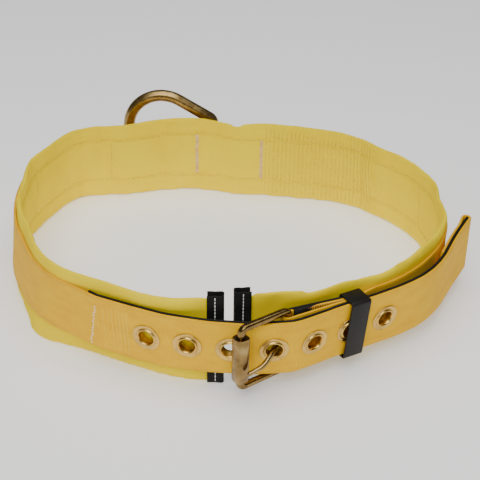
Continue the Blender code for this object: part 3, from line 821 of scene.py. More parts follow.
# Voxel and greatest swelling in metres, and how much thinner the blank starts
PAD_VOXEL = 0.0032
SWELL_FRAMES = 20
SWELL_CAP = 0.0024
PAD_BLANK = 0.75

# How the pad's edges fill out from its ends, and sink under the tapes
PUFF_REACH = 10.0
END_TUCK = 2.4

# The foot isn't smoothed up to the first height, and fully above the second
FOOT_LOW = 5.0
FOOT_HIGH = 13.0


def pad_profile(top, puff, slack):
    """Height and half thickness of the pad, from its foot to its upper edge."""
    full = PAD_HALF + PAD_PUFF - slack
    soft = (
        (0.0, 1.9),
        (1.5, full - 0.4),
        (6.0, full),
        (12.0, PAD_HALF),
        (MID_HEIGHT, PAD_HALF),
        (61.0, PAD_HALF),
        (top - 5.5, full - 0.1),
        (top - 1.5, full - 0.6),
        (top, 1.3),
    )
    return [(z, PAD_END_HALF + (half - PAD_END_HALF) * puff) for z, half in soft]


def pad_line():
    """Fine rows of the pad with distances and outward normals."""
    rows = even_rows(pad_rows(6), 2.0)
    return rows, lengths(rows), mitres(rows)


def pad_blank(rows, marks, normals, slack):
    """Closed pad before it swells."""
    sections = []
    for (x, y, top, lean), n, mark in zip(rows, normals, marks):
        inside = min(mark, marks[-1] - mark) - BINDING_REACH - PAD_END_MARGIN
        puff = min(max(inside / PUFF_REACH, 0.0), 1.0)
        tuck = END_TUCK * min(max(0.5 - inside, 0.0), 1.0)
        profile = pad_profile(top - tuck, puff, slack)
        outer = [stand_beside(x, y, z, lean, n, half) for z, half in profile]
        inner = [stand_beside(x, y, z, lean, n, -half) for z, half in profile]
        sections.append(outer + inner[::-1])
    heights = [z for z, half in pad_profile(PAD_HEIGHT, 1.0, slack)]
    return soft_mesh("pad_body", sections, marks, heights + heights[::-1])


def pad_finder(rows, marks, normals):
    """Function that gives a point's run, height, distance out and the normal there."""
    tree = KDTree(len(rows))
    for i, row in enumerate(rows):
        tree.insert(stand(row[0], row[1], MID_HEIGHT, 0.0), i)
    tree.balance()

    def find(point):
        i = tree.find((point.x, point.y, MID_HEIGHT * MM))[1]
        x, y, top, lean = rows[i]
        height = point.z / MM
        away = point - stand(x, y, height, lean)
        n = normals[i]
        way = Vector((n.y, -n.x))
        run = marks[i] + (away.x * way.x + away.y * way.y) / MM
        return run, height, (away.x * n.x + away.y * n.y) / MM, n
    return find


# Heights of the two rows of stitches along the pad, and how far a row holds it
SEAM_LOW = BELT_LOW + 3.0
SEAM_HIGH = BELT_HIGH - 3.0
SEAM_HOLD = 1.8


def swell(pad, find, total):
    """Let the pad fill out round its seams, as cloth under a little pressure."""
    take(pad)
    mesher = pad.modifiers.new("mesher", "REMESH")
    mesher.mode = "VOXEL"
    mesher.voxel_size = PAD_VOXEL
    apply_modifiers(pad)
    start = [vertex.co.copy() for vertex in pad.data.vertices]
    sewn = pad.vertex_groups.new(name="sewn")
    for vertex in pad.data.vertices:
        run, height, out, normal = find(vertex.co)
        under_webbing = out > 0 and BELT_LOW - 1.0 < height < BELT_HIGH + 1.0
        on_seam = out < 0 and min(abs(height - SEAM_LOW), abs(height - SEAM_HIGH)) < SEAM_HOLD
        at_end = min(run, total - run) < BINDING_REACH + 1.0
        on_floor = height < 0.8
        if under_webbing or on_seam or at_end or on_floor:
            sewn.add([vertex.index], 1.0, "REPLACE")
    cloth = pad.modifiers.new("cloth", "CLOTH")
    settings = cloth.settings
    settings.quality = 6
    settings.mass = 0.2
    settings.tension_stiffness = 12.0
    settings.compression_stiffness = 6.0
    settings.shear_stiffness = 4.0
    settings.bending_stiffness = 0.4
    settings.shrink_min = -0.05
    settings.use_pressure = True
    settings.uniform_pressure_force = 4.0
    settings.vertex_group_mass = "sewn"
    settings.effector_weights.gravity = 0.0
    cloth.point_cache.frame_start = 1
    cloth.point_cache.frame_end = SWELL_FRAMES
    scene = bpy.context.scene
    for number in range(1, SWELL_FRAMES + 1):
        scene.frame_set(number)
    deps = bpy.context.evaluated_depsgraph_get()
    moved = [vertex.co.copy() for vertex in pad.evaluated_get(deps).data.vertices]
    pad.modifiers.remove(cloth)
    pad.vertex_groups.remove(sewn)
    scene.frame_set(1)
    for vertex, before, after in zip(pad.data.vertices, start, moved):
        step = after - before
        if step.length > SWELL_CAP:
            step = step * (SWELL_CAP / step.length)
        vertex.co = before + step
    pad.data.update()


# Cross seams on the pad's inside, by where they stand on the plan
CROSS_SEAMS = (
    # x, y, depth, width
    (-171.0, 198.0, 0.5, 1.0),
    (-115.4, 266.0, 0.5, 1.0),
    (146.8, 190.0, 0.6, 1.0),
)

# Soft folds there, each as tall as the pad
PAD_FOLDS = (
    # x, y, depth, width
    (-139.0, 259.0, 1.1, 6.0),
    (-160.0, 231.0, -0.5, 7.0),
    (112.0, 239.0, -0.7, 5.0),
    (104.0, 247.0, 0.8, 3.6),
    (128.0, 222.0, 0.5, 5.0),
    (-84.0, 273.0, -0.4, 8.0),
)
FOLD_REACH = 3.0

# Two tacks of the ring's tab, and the ribbed stretch right of them
TACK_XS = (-39.7, 17.6)
TACK_Y = 275.0
TACK_HALF = 21.0
RIBS_FROM = (22.0, 272.0)
RIBS_TO = (122.0, 240.0)
RIB_PITCH = 3.7
RIB_DEPTH = 1.2

# The pad's lower edge stands out at its left front corner
FLARE_AT = (-145.0, 56.0)
FLARE = 7.5
FLARE_WIDTH = 20.0
FLARE_TOP = 15.0

# Furrow of a row of stitches, puckered at each stitch
SEAM_DEPTH = 1.25
SEAM_WIDTH = 1.5
SEAM_PUCKER = 0.25
STITCH_PITCH = 3.3


def run_of(find, x, y):
    """Distance along the pad of a plan point."""
    return find(stand(x, y, MID_HEIGHT, 0.0))[0]


def crease_pad(pad, find):
    """Press the seams, puckers and folds into the pad, and flare its lower corner."""
    seams = [(run_of(find, x, y), depth, width) for x, y, depth, width in CROSS_SEAMS]
    folds = [(run_of(find, x, y), depth, width) for x, y, depth, width in PAD_FOLDS]
    tacks = [run_of(find, x, TACK_Y) for x in TACK_XS]
    corner = run_of(find, *FLARE_AT)
    for vertex in pad.data.vertices:
        run, height, out, n = find(vertex.co)
        depth = 0.0
        if out < 0:
            near = min(abs(height - SEAM_LOW), abs(height - SEAM_HIGH))
            pucker = 1.0 + SEAM_PUCKER * math.cos(2 * math.pi * run / STITCH_PITCH)
            depth += SEAM_DEPTH * bump(near, SEAM_WIDTH) * pucker
            for mark, deep, width in seams:
                if abs(run - mark) < FOLD_REACH * width:
                    depth += deep * bump(run - mark, width) * bump(height - MID_HEIGHT, TACK_HALF)
            for mark, deep, width in folds:
                if abs(run - mark) < FOLD_REACH * width:
                    depth += deep * bump(run - mark, width)
            for mark in tacks:
                if abs(run - mark) < 4.0 and abs(height - MID_HEIGHT) < TACK_HALF:
                    depth += 0.2 * bump(run - mark, 3.0)
        side = 1.0 if out > 0 else -1.0
        vertex.co -= Vector((n.x, n.y, 0.0)) * (side * depth * MM)
        flare = FLARE * bump(run - corner, FLARE_WIDTH) * max(0.0, 1.0 - height / FLARE_TOP)
        vertex.co += Vector((n.x, n.y, 0.0)) * (flare * MM)
        vertex.co.z = max(vertex.co.z, 0.0)
    pad.data.update()


def map_pad(pad, find):
    """Give the pad its pattern map of run and height, its inside further up."""
    weave = pad.data.uv_layers.new(name="weave")
    spots = []
    for vertex in pad.data.vertices:
        run, height, out, normal = find(vertex.co)
        spots.append((run * MM, (height + (2 * PAD_HEIGHT if out < 0 else 0.0)) * MM))
    for loop in pad.data.loops:
        weave.data[loop.index].uv = spots[loop.vertex_index]


def calm_pad(pad):
    """Smooth the remeshed pad, with its foot kept on the floor."""
    above = pad.vertex_groups.new(name="above_foot")
    for vertex in pad.data.vertices:
        share = (vertex.co.z / MM - FOOT_LOW) / (FOOT_HIGH - FOOT_LOW)
        if share > 0:
            above.add([vertex.index], min(share, 1.0), "REPLACE")
    calmer = pad.modifiers.new("calmer", "SMOOTH")
    calmer.factor = 0.5
    calmer.iterations = 9
    calmer.vertex_group = "above_foot"
    level = pad.modifiers.new("level", "SMOOTH")
    level.factor = 0.5
    level.iterations = 6
    level.use_z = False
    subdivide_once(pad)
    apply_modifiers(pad)
    pad.vertex_groups.clear()


def make_pad():
    """Soft pad, swollen round its seams."""
    rows, marks, normals = pad_line()
    find = pad_finder(rows, marks, normals)
    pad = pad_blank(rows, marks, normals, PAD_BLANK)
    swell(pad, find, marks[-1])
    take(pad)
    calm_pad(pad)
    crease_pad(pad, find)
    map_pad(pad, find)
    take(pad)
    bpy.ops.object.shade_smooth()
    dress(pad, SURFACES["pad"], "belt", "pad_cloth", "pad")
    return pad, (rows, marks, normals, find)


def make_binding(name, node, end, inner):
    """Tape folded round one end of the pad, and where its stitches run."""
    way = Vector((end[0] - inner[0], end[1] - inner[1])).normalized()
    normal = Vector((-way.y, way.x))
    side = PAD_END_HALF + GAP + BINDING / 2
    share = BINDING_REACH / (BINDING_REACH + PAD_END_MARGIN)
    back_lean = end[3] + (inner[3] - end[3]) * share
    tip = Vector(end[:2]) + way * (GAP + BINDING / 2)
    marks = (
        # distance back from the tip, pinch of the tape
        (BINDING_REACH, 0.1),
        (BINDING_REACH - 1.2, -0.15),
        (BINDING_REACH - 3.0, -0.1),
        (BINDING_REACH / 2 + 0.6, 0.25),
        (BINDING_REACH / 2 - 0.6, 0.25),
        (3.0, -0.15),
        (0.0, 0.0),
    )
    outer = []
    inner_side = []
    for back, pinch in marks:
        spot = tip - way * back
        lean = end[3] + (back_lean - end[3]) * back / BINDING_REACH
        outer.append((*(spot + normal * (side - pinch)), lean))
        inner_side.append((*(spot - normal * (side - pinch)), lean))
    rows = [*outer, *inner_side[::-1]]
    tape = strap(name, rows, BINDING_FOOT, end[2] + BINDING_RISE, BINDING, bend=1.4, across=30)
    dress(tape, SURFACES["tape"], "belt", "black_tape", node)
    return tape, tip - way * (BINDING_REACH / 2), normal, side, end


# Stitches

def stitch_shape():
    """One stitch: a small round-ended bead, one unit long and thick."""
    tidy_selection()
    bpy.ops.mesh.primitive_uv_sphere_add(segments=8, ring_count=6, radius=0.5)
    item = bpy.context.object
    mesh = item.data
    corners = [vertex.co.copy() for vertex in mesh.vertices]
    faces = [tuple(face.vertices) for face in mesh.polygons]
    bpy.data.objects.remove(item, do_unlink=True)
    return corners, faces


def sew(name, spots, surface, slot):
    """All the stitches of one thread; each spot is centre, way, outward, length, thickness."""
    corners, faces = STITCH
    points = []
    polygons = []
    for centre, way, out, length, thickness in spots:
        way = way.normalized()
        across = out.cross(way).normalized()
        rise = way.cross(across)
        start = len(points)
        for c in corners:
            points.append(centre + (way * (c.z * length) + across * (c.x * thickness)
                                    + rise * (c.y * thickness)) * MM)
        polygons += [tuple(start + v for v in face) for face in faces]
    mesh = bpy.data.meshes.new(name)
    mesh.from_pydata(points, [], polygons)
    mesh.shade_smooth()
    item = new_piece(name, mesh)
    finish_faces(item, 80.0)
    return dress(item, surface, "belt", slot)


def on_surface(item, point):
    """Nearest point of a piece's surface and its normal."""
    return item.closest_point_on_mesh(point)[1:3]


def row_of_stitches(item, line, pitch, length, thickness, sink):
    """Stitches end to end along a line of points laid on a piece's surface."""
    spots = []
    marks = [0.0]
    for a, b in zip(line, line[1:]):
        marks.append(marks[-1] + (b - a).length / MM)
    i = 0
    for k in range(int(marks[-1] / pitch)):
        mark = (k + 0.5) * pitch
        while marks[i + 1] < mark:
            i += 1
        t = (mark - marks[i]) / (marks[i + 1] - marks[i])
        spot, normal = on_surface(item, line[i].lerp(line[i + 1], t))
        way = line[i + 1] - line[i]
        way = way - normal * way.dot(normal)
        spots.append((spot - normal * (sink * MM), way, normal, length, thickness))
    return spots


# Fittings

def make_grommets(flats):
    """Pressed eyelets: one is turned, the others are copies of it."""
    face = WEBBING / 2 + GAP - GROMMET_SINK
    back = -(WEBBING_TO_CORE + CORE / 2 + GAP)
    flange = GROMMET_FLANGE + GROMMET_SPREAD
    bore = GROMMET_BORE
    profile = (
        # radius, height over the webbing's middle
        (bore - 0.3, back - GROMMET_BACK),
        (bore - 0.75, back - 0.3),
        (bore - 0.7, back + 1.2),
        (bore - 0.35, face - 0.4),
        (bore + 0.1, face + 0.9),
        (bore + 0.5, face + 1.4),
        (bore + 1.05, face + 1.5),
        (bore + 1.55, face + 1.1),
        (bore + 1.85, face + 0.4),
        (bore + 2.2, face + 0.32),
        (bore + 2.6, face + 0.6),
        (flange - 1.0, face + 0.68),
        (flange - 0.35, face + 0.85),
        (flange, face + 0.6),
        (flange - 0.6, face),
        (GROMMET_BARREL, face),
        (GROMMET_BARREL, back),
        (flange - 1.2, back),
        (flange - 1.0, back - 0.3),
        (flange - 1.6, back - GROMMET_BACK + 0.05),
    )
    first = turned_piece("eyelet_1", profile, 48)
    subdivide_once(first)
    apply_modifiers(first)
    blank = first.data.copy()
    for i, flat in enumerate(flats):
        item = new_piece(f"eyelet_{i + 1}", blank.copy()) if i else first
        origin, along, up, out = local_frame(flat)
        place(item, lambda c: origin + (along * c.x + up * c.y + out * c.z) * MM)
        if (along.cross(up)).dot(out) < 0:
            item.data.flip_normals()
        dress(item, SURFACES["brass"], "belt", "grommet_brass", f"grommet_{i + 1}")


def frame_spot(c):
    """Place of a point of the buckle: x along the frame, y out, z up, in millimetres."""
    spot = Vector(FRAME_FRONT) + Vector(FRAME_DIRECTION) * c.x
    out = Vector((FRAME_DIRECTION[1], -FRAME_DIRECTION[0], 0.0))
    return stand(spot.x, spot.y, MID_HEIGHT + c.z, FRAME_LEAN) + out * (c.y * MM)


def make_frame():
    """Buckle frame bent from one bar."""
    half = FRAME_HALF_HEIGHT - FRAME_BEND
    far = FRAME_LENGTH - FRAME_BEND
    item = bar_start("buckle_bar", FRAME_STOCK, 24, (0, 0, -half), 2.6)
    bar_on((0, 0, 2 * half), 4)
    bar_bend((FRAME_BEND, 0, half), (0, 1, 0), 90, 7)
    bar_on((far - FRAME_BEND, 0, 0), 3)
    bar_bend((far, 0, half), (0, 1, 0), 90, 7)
    bar_on((0, 0, -2 * half), 4)
    bar_bend((far, 0, -half), (0, 1, 0), 90, 7)
    bar_on((FRAME_BEND - far, 0, 0), 3)
    bar_bend((FRAME_BEND, 0, -half), (0, 1, 0), 90, 7)
    place(item, frame_spot)
    finish_faces(item)
    return dress(item, SURFACES["bronze"], "belt", "buckle_bronze", "buckle_frame")


def make_roller():
    """Sleeve on the frame's front bar, a little squared as rolled sheet is."""
    bore = FRAME_STOCK + GAP
    half = ROLLER_HALF_LENGTH
    wall = ROLLER_RADIUS
    lower = (
        # radius, height
        (bore, -half + 0.3),
        (bore + 0.3, -half),
        (wall - 0.7, -half),
        (wall - 0.2, -half + 0.2),
        (wall, -half + 0.7),
        (wall, -half / 2),
    )
    item = turned_piece("roller_sleeve", two_ended(lower, (wall, 0.0)), 48)
    power = ROLLER_SQUARENESS
    for vertex in item.data.vertices:
        spoke = Vector((vertex.co.x, vertex.co.y))
        if spoke.length > (bore + 1.0) * MM:
            full = (abs(spoke.x) ** power + abs(spoke.y) ** power) ** (1 / power)
            squared = spoke * (spoke.length / full) * ROLLER_SHARE
            vertex.co.x = squared.x
            vertex.co.y = squared.y
    place(item, frame_spot)
    finish_faces(item, 35.0)
    return dress(item, SURFACES["bronze"], "belt", "buckle_bronze", "buckle_roller")


def make_prong():
    """Bent pin that tapers to a blunt point, with its eye round the back bar."""
    path = smooth_rows(PRONG_PATH, 5)
    curve = bpy.data.curves.new("prong", "CURVE")
    curve.dimensions = "3D"
    curve.bevel_depth = PRONG_RADIUS * MM
    curve.bevel_resolution = 4
    curve.use_fill_caps = True
    spline = curve.splines.new("POLY")
    spline.points.add(len(path) - 1)
    last = len(path) - 1
    for i, (point, (x, y, z)) in enumerate(zip(spline.points, path)):
        point.co = (*stand(x, y, z, 0.0), 1.0)
        left = (last - i) / last
        point.radius = min(1.0, 0.8 + 0.6 * left) if i < last else 0.5
    take(new_piece("prong_pin", curve))
    bpy.ops.object.convert(target="MESH")
    pin = bpy.context.object
    bore = FRAME_STOCK + GAP
    rim = bore + PRONG_EYE_WALL
    half = PRONG_EYE_HALF
    lower = (
        # radius, height
        (bore, -half + 0.4),
        (bore + 0.4, -half),
        (rim - 0.7, -half),
        (rim, -half + 0.7),
    )
    eye = turned_piece("prong_eye", two_ended(lower), 32)
    place(eye, lambda c: frame_spot(Vector((c.x + FRAME_LENGTH, c.y, c.z))))
    finish_faces(eye)
    take(pin)
    eye.select_set(True)
    bpy.ops.object.join()
    item = named("prong_pin")
    finish_faces(item, 60.0)
    return dress(item, SURFACES["bronze"], "belt", "buckle_bronze", "buckle_prong")


def make_keeper(flat):
    """Moulded sleeve, its four corners rounded and its edges eased."""
    stack = stack_offsets()
    room = KEEPER_CLEARANCE + KEEPER_WALL
    front = stack["front"] + room
    back = stack["back"] - room
    high = BELT_HIGH + room - MID_HEIGHT
    tidy_selection()
    bpy.ops.mesh.primitive_cube_add(
        size=1.0, location=(-KEEPER_SHIFT * MM, (front + back) / 2 * MM, 0.0),
        scale=(KEEPER_WIDTH * MM, (front - back) * MM, 2 * high * MM))
    bpy.ops.object.transform_apply(location=True, rotation=True, scale=True)
    item = named("keeper_sleeve")
    bpy.ops.object.mode_set(mode="EDIT")
    bm = bmesh.from_edit_mesh(item.data)
    ends = [face for face in bm.faces if abs(face.normal.x) > 0.9]
    bmesh.ops.delete(bm, geom=ends, context="FACES_ONLY")
    for edge in bm.edges:
        run = edge.verts[0].co - edge.verts[1].co
        edge.select_set(abs(run.x) > abs(run.y) + abs(run.z))
    bmesh.update_edit_mesh(item.data)
    bpy.ops.mesh.bevel(offset=KEEPER_CORNER * MM, segments=6)
    bpy.ops.mesh.select_all(action="SELECT")
    bpy.ops.mesh.normals_make_consistent(inside=False)
    bpy.ops.object.mode_set(mode="OBJECT")
    wall = item.modifiers.new("wall", "SOLIDIFY")
    wall.thickness = KEEPER_WALL * MM
    wall.offset = -1.0
    ease = item.modifiers.new("ease", "BEVEL")
    ease.width = KEEPER_EASE * MM
    ease.segments = 3
    ease.limit_method = "ANGLE"
    apply_modifiers(item)
    middle, lean = frame_at(flat)[::3]

    def spot(c):
        row = beside(flat, c.x, c.y)
        tilt = (stand(middle.x, middle.y, MID_HEIGHT + c.z, lean)
                - stand(middle.x, middle.y, MID_HEIGHT, lean))
        return stand(row[0], row[1], MID_HEIGHT, 0.0) + tilt
    place(item, spot)
    finish_faces(item, 40.0)
    return dress(item, SURFACES["moulded"], "belt", "keeper_rubber", "keeper")


def make_ring():
    """Forged D-ring, drawn along its bar, corners, legs and bow."""
    half = RING_HALF_WIDTH
    corner = RING_CORNER
    straight = half - corner
    item = bar_start("back_ring_bar", RING_STOCK, 28, (0, 0, -straight))
    bar_on((0, 0, 2 * straight), 6)
    bar_bend((corner, 0, straight), (0, 1, 0), 90, 8)
    bar_on((RING_LEG - corner, 0, 0), 5)
    bar_bend((RING_LEG, 0, 0), (0, 1, 0), 180, 34)
    bar_on((corner - RING_LEG, 0, 0), 5)
    bar_bend((corner, 0, -straight), (0, 1, 0), 90, 8)
    tilt = math.radians(RING_TILT)
    axis = Vector((math.sin(tilt), 0.0, math.cos(tilt)))
    swing = Matrix.Rotation(math.radians(-RING_REST_SWING), 3, axis)
    away = swing @ Vector((-math.cos(tilt), 0.0, math.sin(tilt)))
    across = axis.cross(away)
    origin = stand(*RING_BAR, 0.0)
    place(item, lambda c: origin + (away * c.x + across * c.y + axis * c.z) * MM)
    finish_faces(item)
    return dress(item, SURFACES["zinc"], "back_ring", "ring_zinc", "d_ring")


# Finishes

def new_surface(name):
    """New material with its shader, ready for more nodes."""
    made = bpy.data.materials.new(name)
    made.use_nodes = True
    tree = made.node_tree
    return made, tree, tree.nodes["Principled BSDF"]


def set_sockets(shader, **values):
    """Set the shader's own sockets, named in small letters."""
    for socket in shader.inputs:
        key = socket.name.lower().replace(" ", "_")
        if key in values:
            socket.default_value = values[key]


def calc(tree, operation, first, second=None, third=None):
    """Math node; each value is a socket or a number."""
    node = tree.nodes.new("ShaderNodeMath")
    node.operation = operation
    for socket, value in zip(node.inputs, (first, second, third)):
        if value is None:
            continue
        if isinstance(value, (int, float)):
            socket.default_value = value
        else:
            tree.links.new(value, socket)
    return node.outputs[0]


def noise(tree, vector, scale, detail=3.0, stretch=(1.0, 1.0, 1.0)):
    """Noise in metres, stretched along an axis if asked."""
    mapping = tree.nodes.new("ShaderNodeMapping")
    mapping.inputs["Scale"].default_value = stretch
    tree.links.new(vector, mapping.inputs["Vector"])
    made = tree.nodes.new("ShaderNodeTexNoise")
    made.inputs["Scale"].default_value = scale
    made.inputs["Detail"].default_value = detail
    tree.links.new(mapping.outputs[0], made.inputs["Vector"])
    return made.outputs["Fac"]


def ramp(tree, factor, *stops):
    """Colours along a factor; each stop is a place and a colour."""
    node = tree.nodes.new("ShaderNodeValToRGB")
    marks = node.color_ramp.elements
    while len(marks) < len(stops):
        marks.new(0.5)
    for mark, (spot, colour) in zip(marks, stops):
        mark.position = spot
        mark.color = (*colour, 1.0)
    tree.links.new(factor, node.inputs["Fac"])
    return node.outputs["Color"]


def blend(tree, first, second, share):
    """Sum of two patterns, with the second one's share of it."""
    return calc(tree, "ADD", calc(tree, "MULTIPLY", first, 1.0 - share),
                calc(tree, "MULTIPLY", second, share))


def split(tree, vector):
    """Node that gives a vector's parts."""
    node = tree.nodes.new("ShaderNodeSeparateXYZ")
    tree.links.new(vector, node.inputs[0])
    return node.outputs


def relief(tree, shader, height, strength, distance):
    """Feed a height into the shader's normal."""
    node = tree.nodes.new("ShaderNodeBump")
    node.inputs["Strength"].default_value = strength
    node.inputs["Distance"].default_value = distance
    tree.links.new(height, node.inputs["Height"])
    tree.links.new(node.outputs["Normal"], shader.inputs["Normal"])


def object_spot(tree):
    """Object coordinates, in metres."""
    return tree.nodes.new("ShaderNodeTexCoord").outputs["Object"]


def weave_spot(tree):
    """Run along the cloth and height on it, in metres."""
    node = tree.nodes.new("ShaderNodeUVMap")
    node.uv_map = "weave"
    parts = split(tree, node.outputs["UV"])
    return node.outputs["UV"], parts["X"], parts["Y"]


def wave(tree, along, pitch):
    """Smooth wave of a pitch in metres, from minus one to one."""
    return calc(tree, "SINE", calc(tree, "MULTIPLY", along, 2 * math.pi / pitch))


# Pitch of the pad's knit along it and up it, in metres
KNIT_RUN = 0.00095
KNIT_RISE = 0.0011

# Where the pad's ribs fade in, on the floor's own axes, in millimetres
RIB_FADES = (
    # axis, no ribs, full ribs
    ("X", RIBS_FROM[0], RIBS_FROM[0] + 8.0),
    ("X", RIBS_TO[0], RIBS_TO[0] - 8.0),
    ("Y", 70.0, 80.0),
)

# Pitch of the straps' cross ribs, yarns and selvedge yarns, and width of the edge band with
# selvedge relief and painted shade, in metres
STRAP_RIB = 0.00125
STRAP_YARN = 0.00155
EDGE_YARN = 0.0016
EDGE_WIDTH = 0.0032


def pad_surface():
    """Soft lemon cloth with a fine knit, crumpled, and ribbed on the right of its back."""
    made, tree, shader = new_surface("lemon_cloth")
    uv, run, up = weave_spot(tree)
    spot = object_spot(tree)
    patch = noise(tree, spot, 34.0, 4.0)
    fine = noise(tree, spot, 900.0, 2.0)
    colour = ramp(tree, blend(tree, patch, fine, 0.2), (0.3, (0.95, 0.70, 0.0)),
                  (0.5, (1.0, 0.755, 0.0)), (0.72, (1.0, 0.79, 0.0)))
    tree.links.new(colour, shader.inputs["Base Color"])
    knit = calc(tree, "MULTIPLY", wave(tree, run, KNIT_RUN), wave(tree, up, KNIT_RISE))
    parts = split(tree, spot)
    ribs = calc(tree, "MULTIPLY", wave(tree, run, RIB_PITCH * MM), RIB_DEPTH)
    for part, start, full in RIB_FADES:
        span = tree.nodes.new("ShaderNodeMapRange")
        span.inputs["From Min"].default_value = start * MM
        span.inputs["From Max"].default_value = full * MM
        tree.links.new(parts[part], span.inputs["Value"])
        ribs = calc(tree, "MULTIPLY", ribs, span.outputs[0])
    crumple = noise(tree, spot, 150.0, 4.0, (1.0, 1.0, 0.35))
    height = calc(tree, "ADD", calc(tree, "MULTIPLY", knit, 0.10),
                  calc(tree, "MULTIPLY", crumple, 0.8))
    relief(tree, shader, calc(tree, "ADD", height, ribs), 0.5, 0.0007)
    set_sockets(shader, roughness=0.85, sheen_weight=0.06, sheen_roughness=0.45,
                sheen_tint=(1.0, 0.85, 0.1, 1.0), specular_ior_level=0.1)
    return made


def woven_surface(name, dark, base, light, low, high):
    """Woven strap: cross ribs, lengthwise yarns and closer selvedge yarns, with painted shade that
    darkens its colour towards the top and bottom edges.
    """
    made, tree, shader = new_surface(name)
    uv, run, up = weave_spot(tree)
    spot = object_spot(tree)
    ribs = wave(tree, run, STRAP_RIB)
    cross = calc(tree, "MULTIPLY", ribs, wave(tree, up, STRAP_YARN))
    patch = noise(tree, uv, 55.0, 4.0, (1.0, 2.2, 1.0))
    thread = noise(tree, uv, 520.0, 2.0, (1.0, 7.0, 1.0))
    shade = calc(tree, "MULTIPLY_ADD", cross, 0.05, blend(tree, patch, thread, 0.38))
    edge = calc(tree, "MINIMUM", calc(tree, "SUBTRACT", up, low * MM),
                calc(tree, "SUBTRACT", high * MM, up))
    near = calc(tree, "MINIMUM", calc(tree, "DIVIDE", edge, EDGE_WIDTH), 1.0)
    near = calc(tree, "SUBTRACT", 1.0, near)
    # Painted shade: the colour darkens towards the strap's top and bottom edges
    shade = calc(tree, "MULTIPLY_ADD", near, -0.13, shade)
    colour = ramp(tree, shade, (0.30, dark), (0.5, base), (0.70, light))
    tree.links.new(colour, shader.inputs["Base Color"])
    soft = noise(tree, spot, 120.0, 3.0)
    height = calc(tree, "MULTIPLY_ADD", ribs, 0.16, calc(tree, "MULTIPLY", cross, 0.22))
    height = calc(tree, "MULTIPLY_ADD", soft, 0.4, height)
    height = calc(tree, "MULTIPLY_ADD", wave(tree, edge, EDGE_YARN),
                  calc(tree, "MULTIPLY", near, 0.35), height)
    relief(tree, shader, height, 0.55, 0.0006)
    set_sockets(shader, roughness=0.66, sheen_weight=0.05, sheen_roughness=0.4,
                sheen_tint=(*light, 1.0), specular_ior_level=0.2)
    return made


def thread_surface(name, dark, light):
    """Sewing thread, with plies that catch the light."""
    made, tree, shader = new_surface(name)
    spot = object_spot(tree)
    tree.links.new(ramp(tree, noise(tree, spot, 300.0, 2.0), (0.35, dark), (0.65, light)),
                   shader.inputs["Base Color"])
    relief(tree, shader, noise(tree, spot, 2600.0, 1.0), 0.4, 0.0002)
    set_sockets(shader, roughness=0.5, sheen_weight=0.3)
    return made


def metal_surface(name, dark, base, light, roughness, scratch):
    """Plated metal with faint tarnish, soft wear and fine rubbing marks."""
    made, tree, shader = new_surface(name)
    spot = object_spot(tree)
    patch = noise(tree, spot, 90.0, 5.0)
    marks = noise(tree, spot, 420.0, 3.0, (1.0, 1.0, 0.12))
    colour = ramp(tree, blend(tree, patch, marks, 0.25), (0.32, dark), (0.5, base),
                  (0.68, light))
    tree.links.new(colour, shader.inputs["Base Color"])
    rough = calc(tree, "MULTIPLY_ADD", calc(tree, "SUBTRACT", patch, 0.5), 0.25, roughness)
    rough = calc(tree, "MULTIPLY_ADD", calc(tree, "SUBTRACT", marks, 0.5), 0.12, rough)
    tree.links.new(rough, shader.inputs["Roughness"])
    relief(tree, shader, calc(tree, "MULTIPLY_ADD", marks, scratch, patch), 0.12, 0.0004)
    set_sockets(shader, metallic=1.0)
    return made


def moulded_surface():
    """Matte black moulded sleeve with a fine grain."""
    made, tree, shader = new_surface("moulded_black")
    spot = object_spot(tree)
    grain = noise(tree, spot, 1500.0, 2.0)
    patch = noise(tree, spot, 80.0, 3.0)
    colour = ramp(tree, patch, (0.3, (0.006, 0.0055, 0.005)), (0.7, (0.011, 0.010, 0.009)))
    tree.links.new(colour, shader.inputs["Base Color"])
    tree.links.new(calc(tree, "MULTIPLY_ADD", patch, 0.2, 0.38), shader.inputs["Roughness"])
    relief(tree, shader, grain, 0.3, 0.0002)
    set_sockets(shader, specular_ior_level=0.25)
    return made


# Stage

def area_light(name, spot, aim, size, power):
    """Soft panel that faces a point."""
    tidy_selection()
    bpy.ops.object.light_add(type="AREA", location=spot)
    lamp = bpy.context.object
    lamp.name = name
    lamp.data.shape = "RECTANGLE"
    lamp.data.size = size[0]
    lamp.data.size_y = size[1]
    lamp.data.energy = power
    way = Vector(aim) - Vector(spot)
    lamp.rotation_euler = way.to_track_quat("-Z", "Y").to_euler()


def make_stage():
    """Pale floor, soft light from above and the front, and the camera."""
    tidy_selection()
    bpy.ops.mesh.primitive_plane_add(size=14.0, location=(0.0, 0.0, -0.0005))
    floor = named("floor")
    made, tree, shader = new_surface("pale_floor")
    set_sockets(shader, base_color=(0.95, 0.95, 0.95, 1.0), emission_color=(1.0, 1.0, 1.0, 1.0),
                emission_strength=0.3, roughness=0.9)
    floor.data.materials.append(made)
    world = bpy.context.scene.world or bpy.data.worlds.new("studio")
    bpy.context.scene.world = world
    world.use_nodes = True
    set_sockets(world.node_tree.nodes["Background"], color=(1.0, 1.0, 1.0, 1.0), strength=0.12)
    area_light("front_panel", (-0.15, -1.15, 1.35), (0.0, 0.0, 0.03), (1.3, 1.0), 18.5)
    area_light("top_panel", (0.0, 0.0, 1.6), (0.0, 0.0, 0.0), (1.6, 1.2), 16.0)
    tidy_selection()
    x, y, z = CAMERA_SPOT
    spot = Vector((x + SHIFT_X, y + SHIFT_Y, z)) * MM
    bpy.ops.object.camera_add(location=spot)
    camera = bpy.context.object
    turn = Matrix.Rotation(math.radians(90.0 - CAMERA_DOWN), 4, "X")
    roll = Matrix.Rotation(math.radians(CAMERA_ROLL), 4, "Z")
    camera.matrix_world = Matrix.Translation(spot) @ turn @ roll
    camera.data.lens = LENS
    camera.data.sensor_width = SENSOR
    camera.data.clip_start = 0.01
    bpy.context.scene.camera = camera


# Making the belt

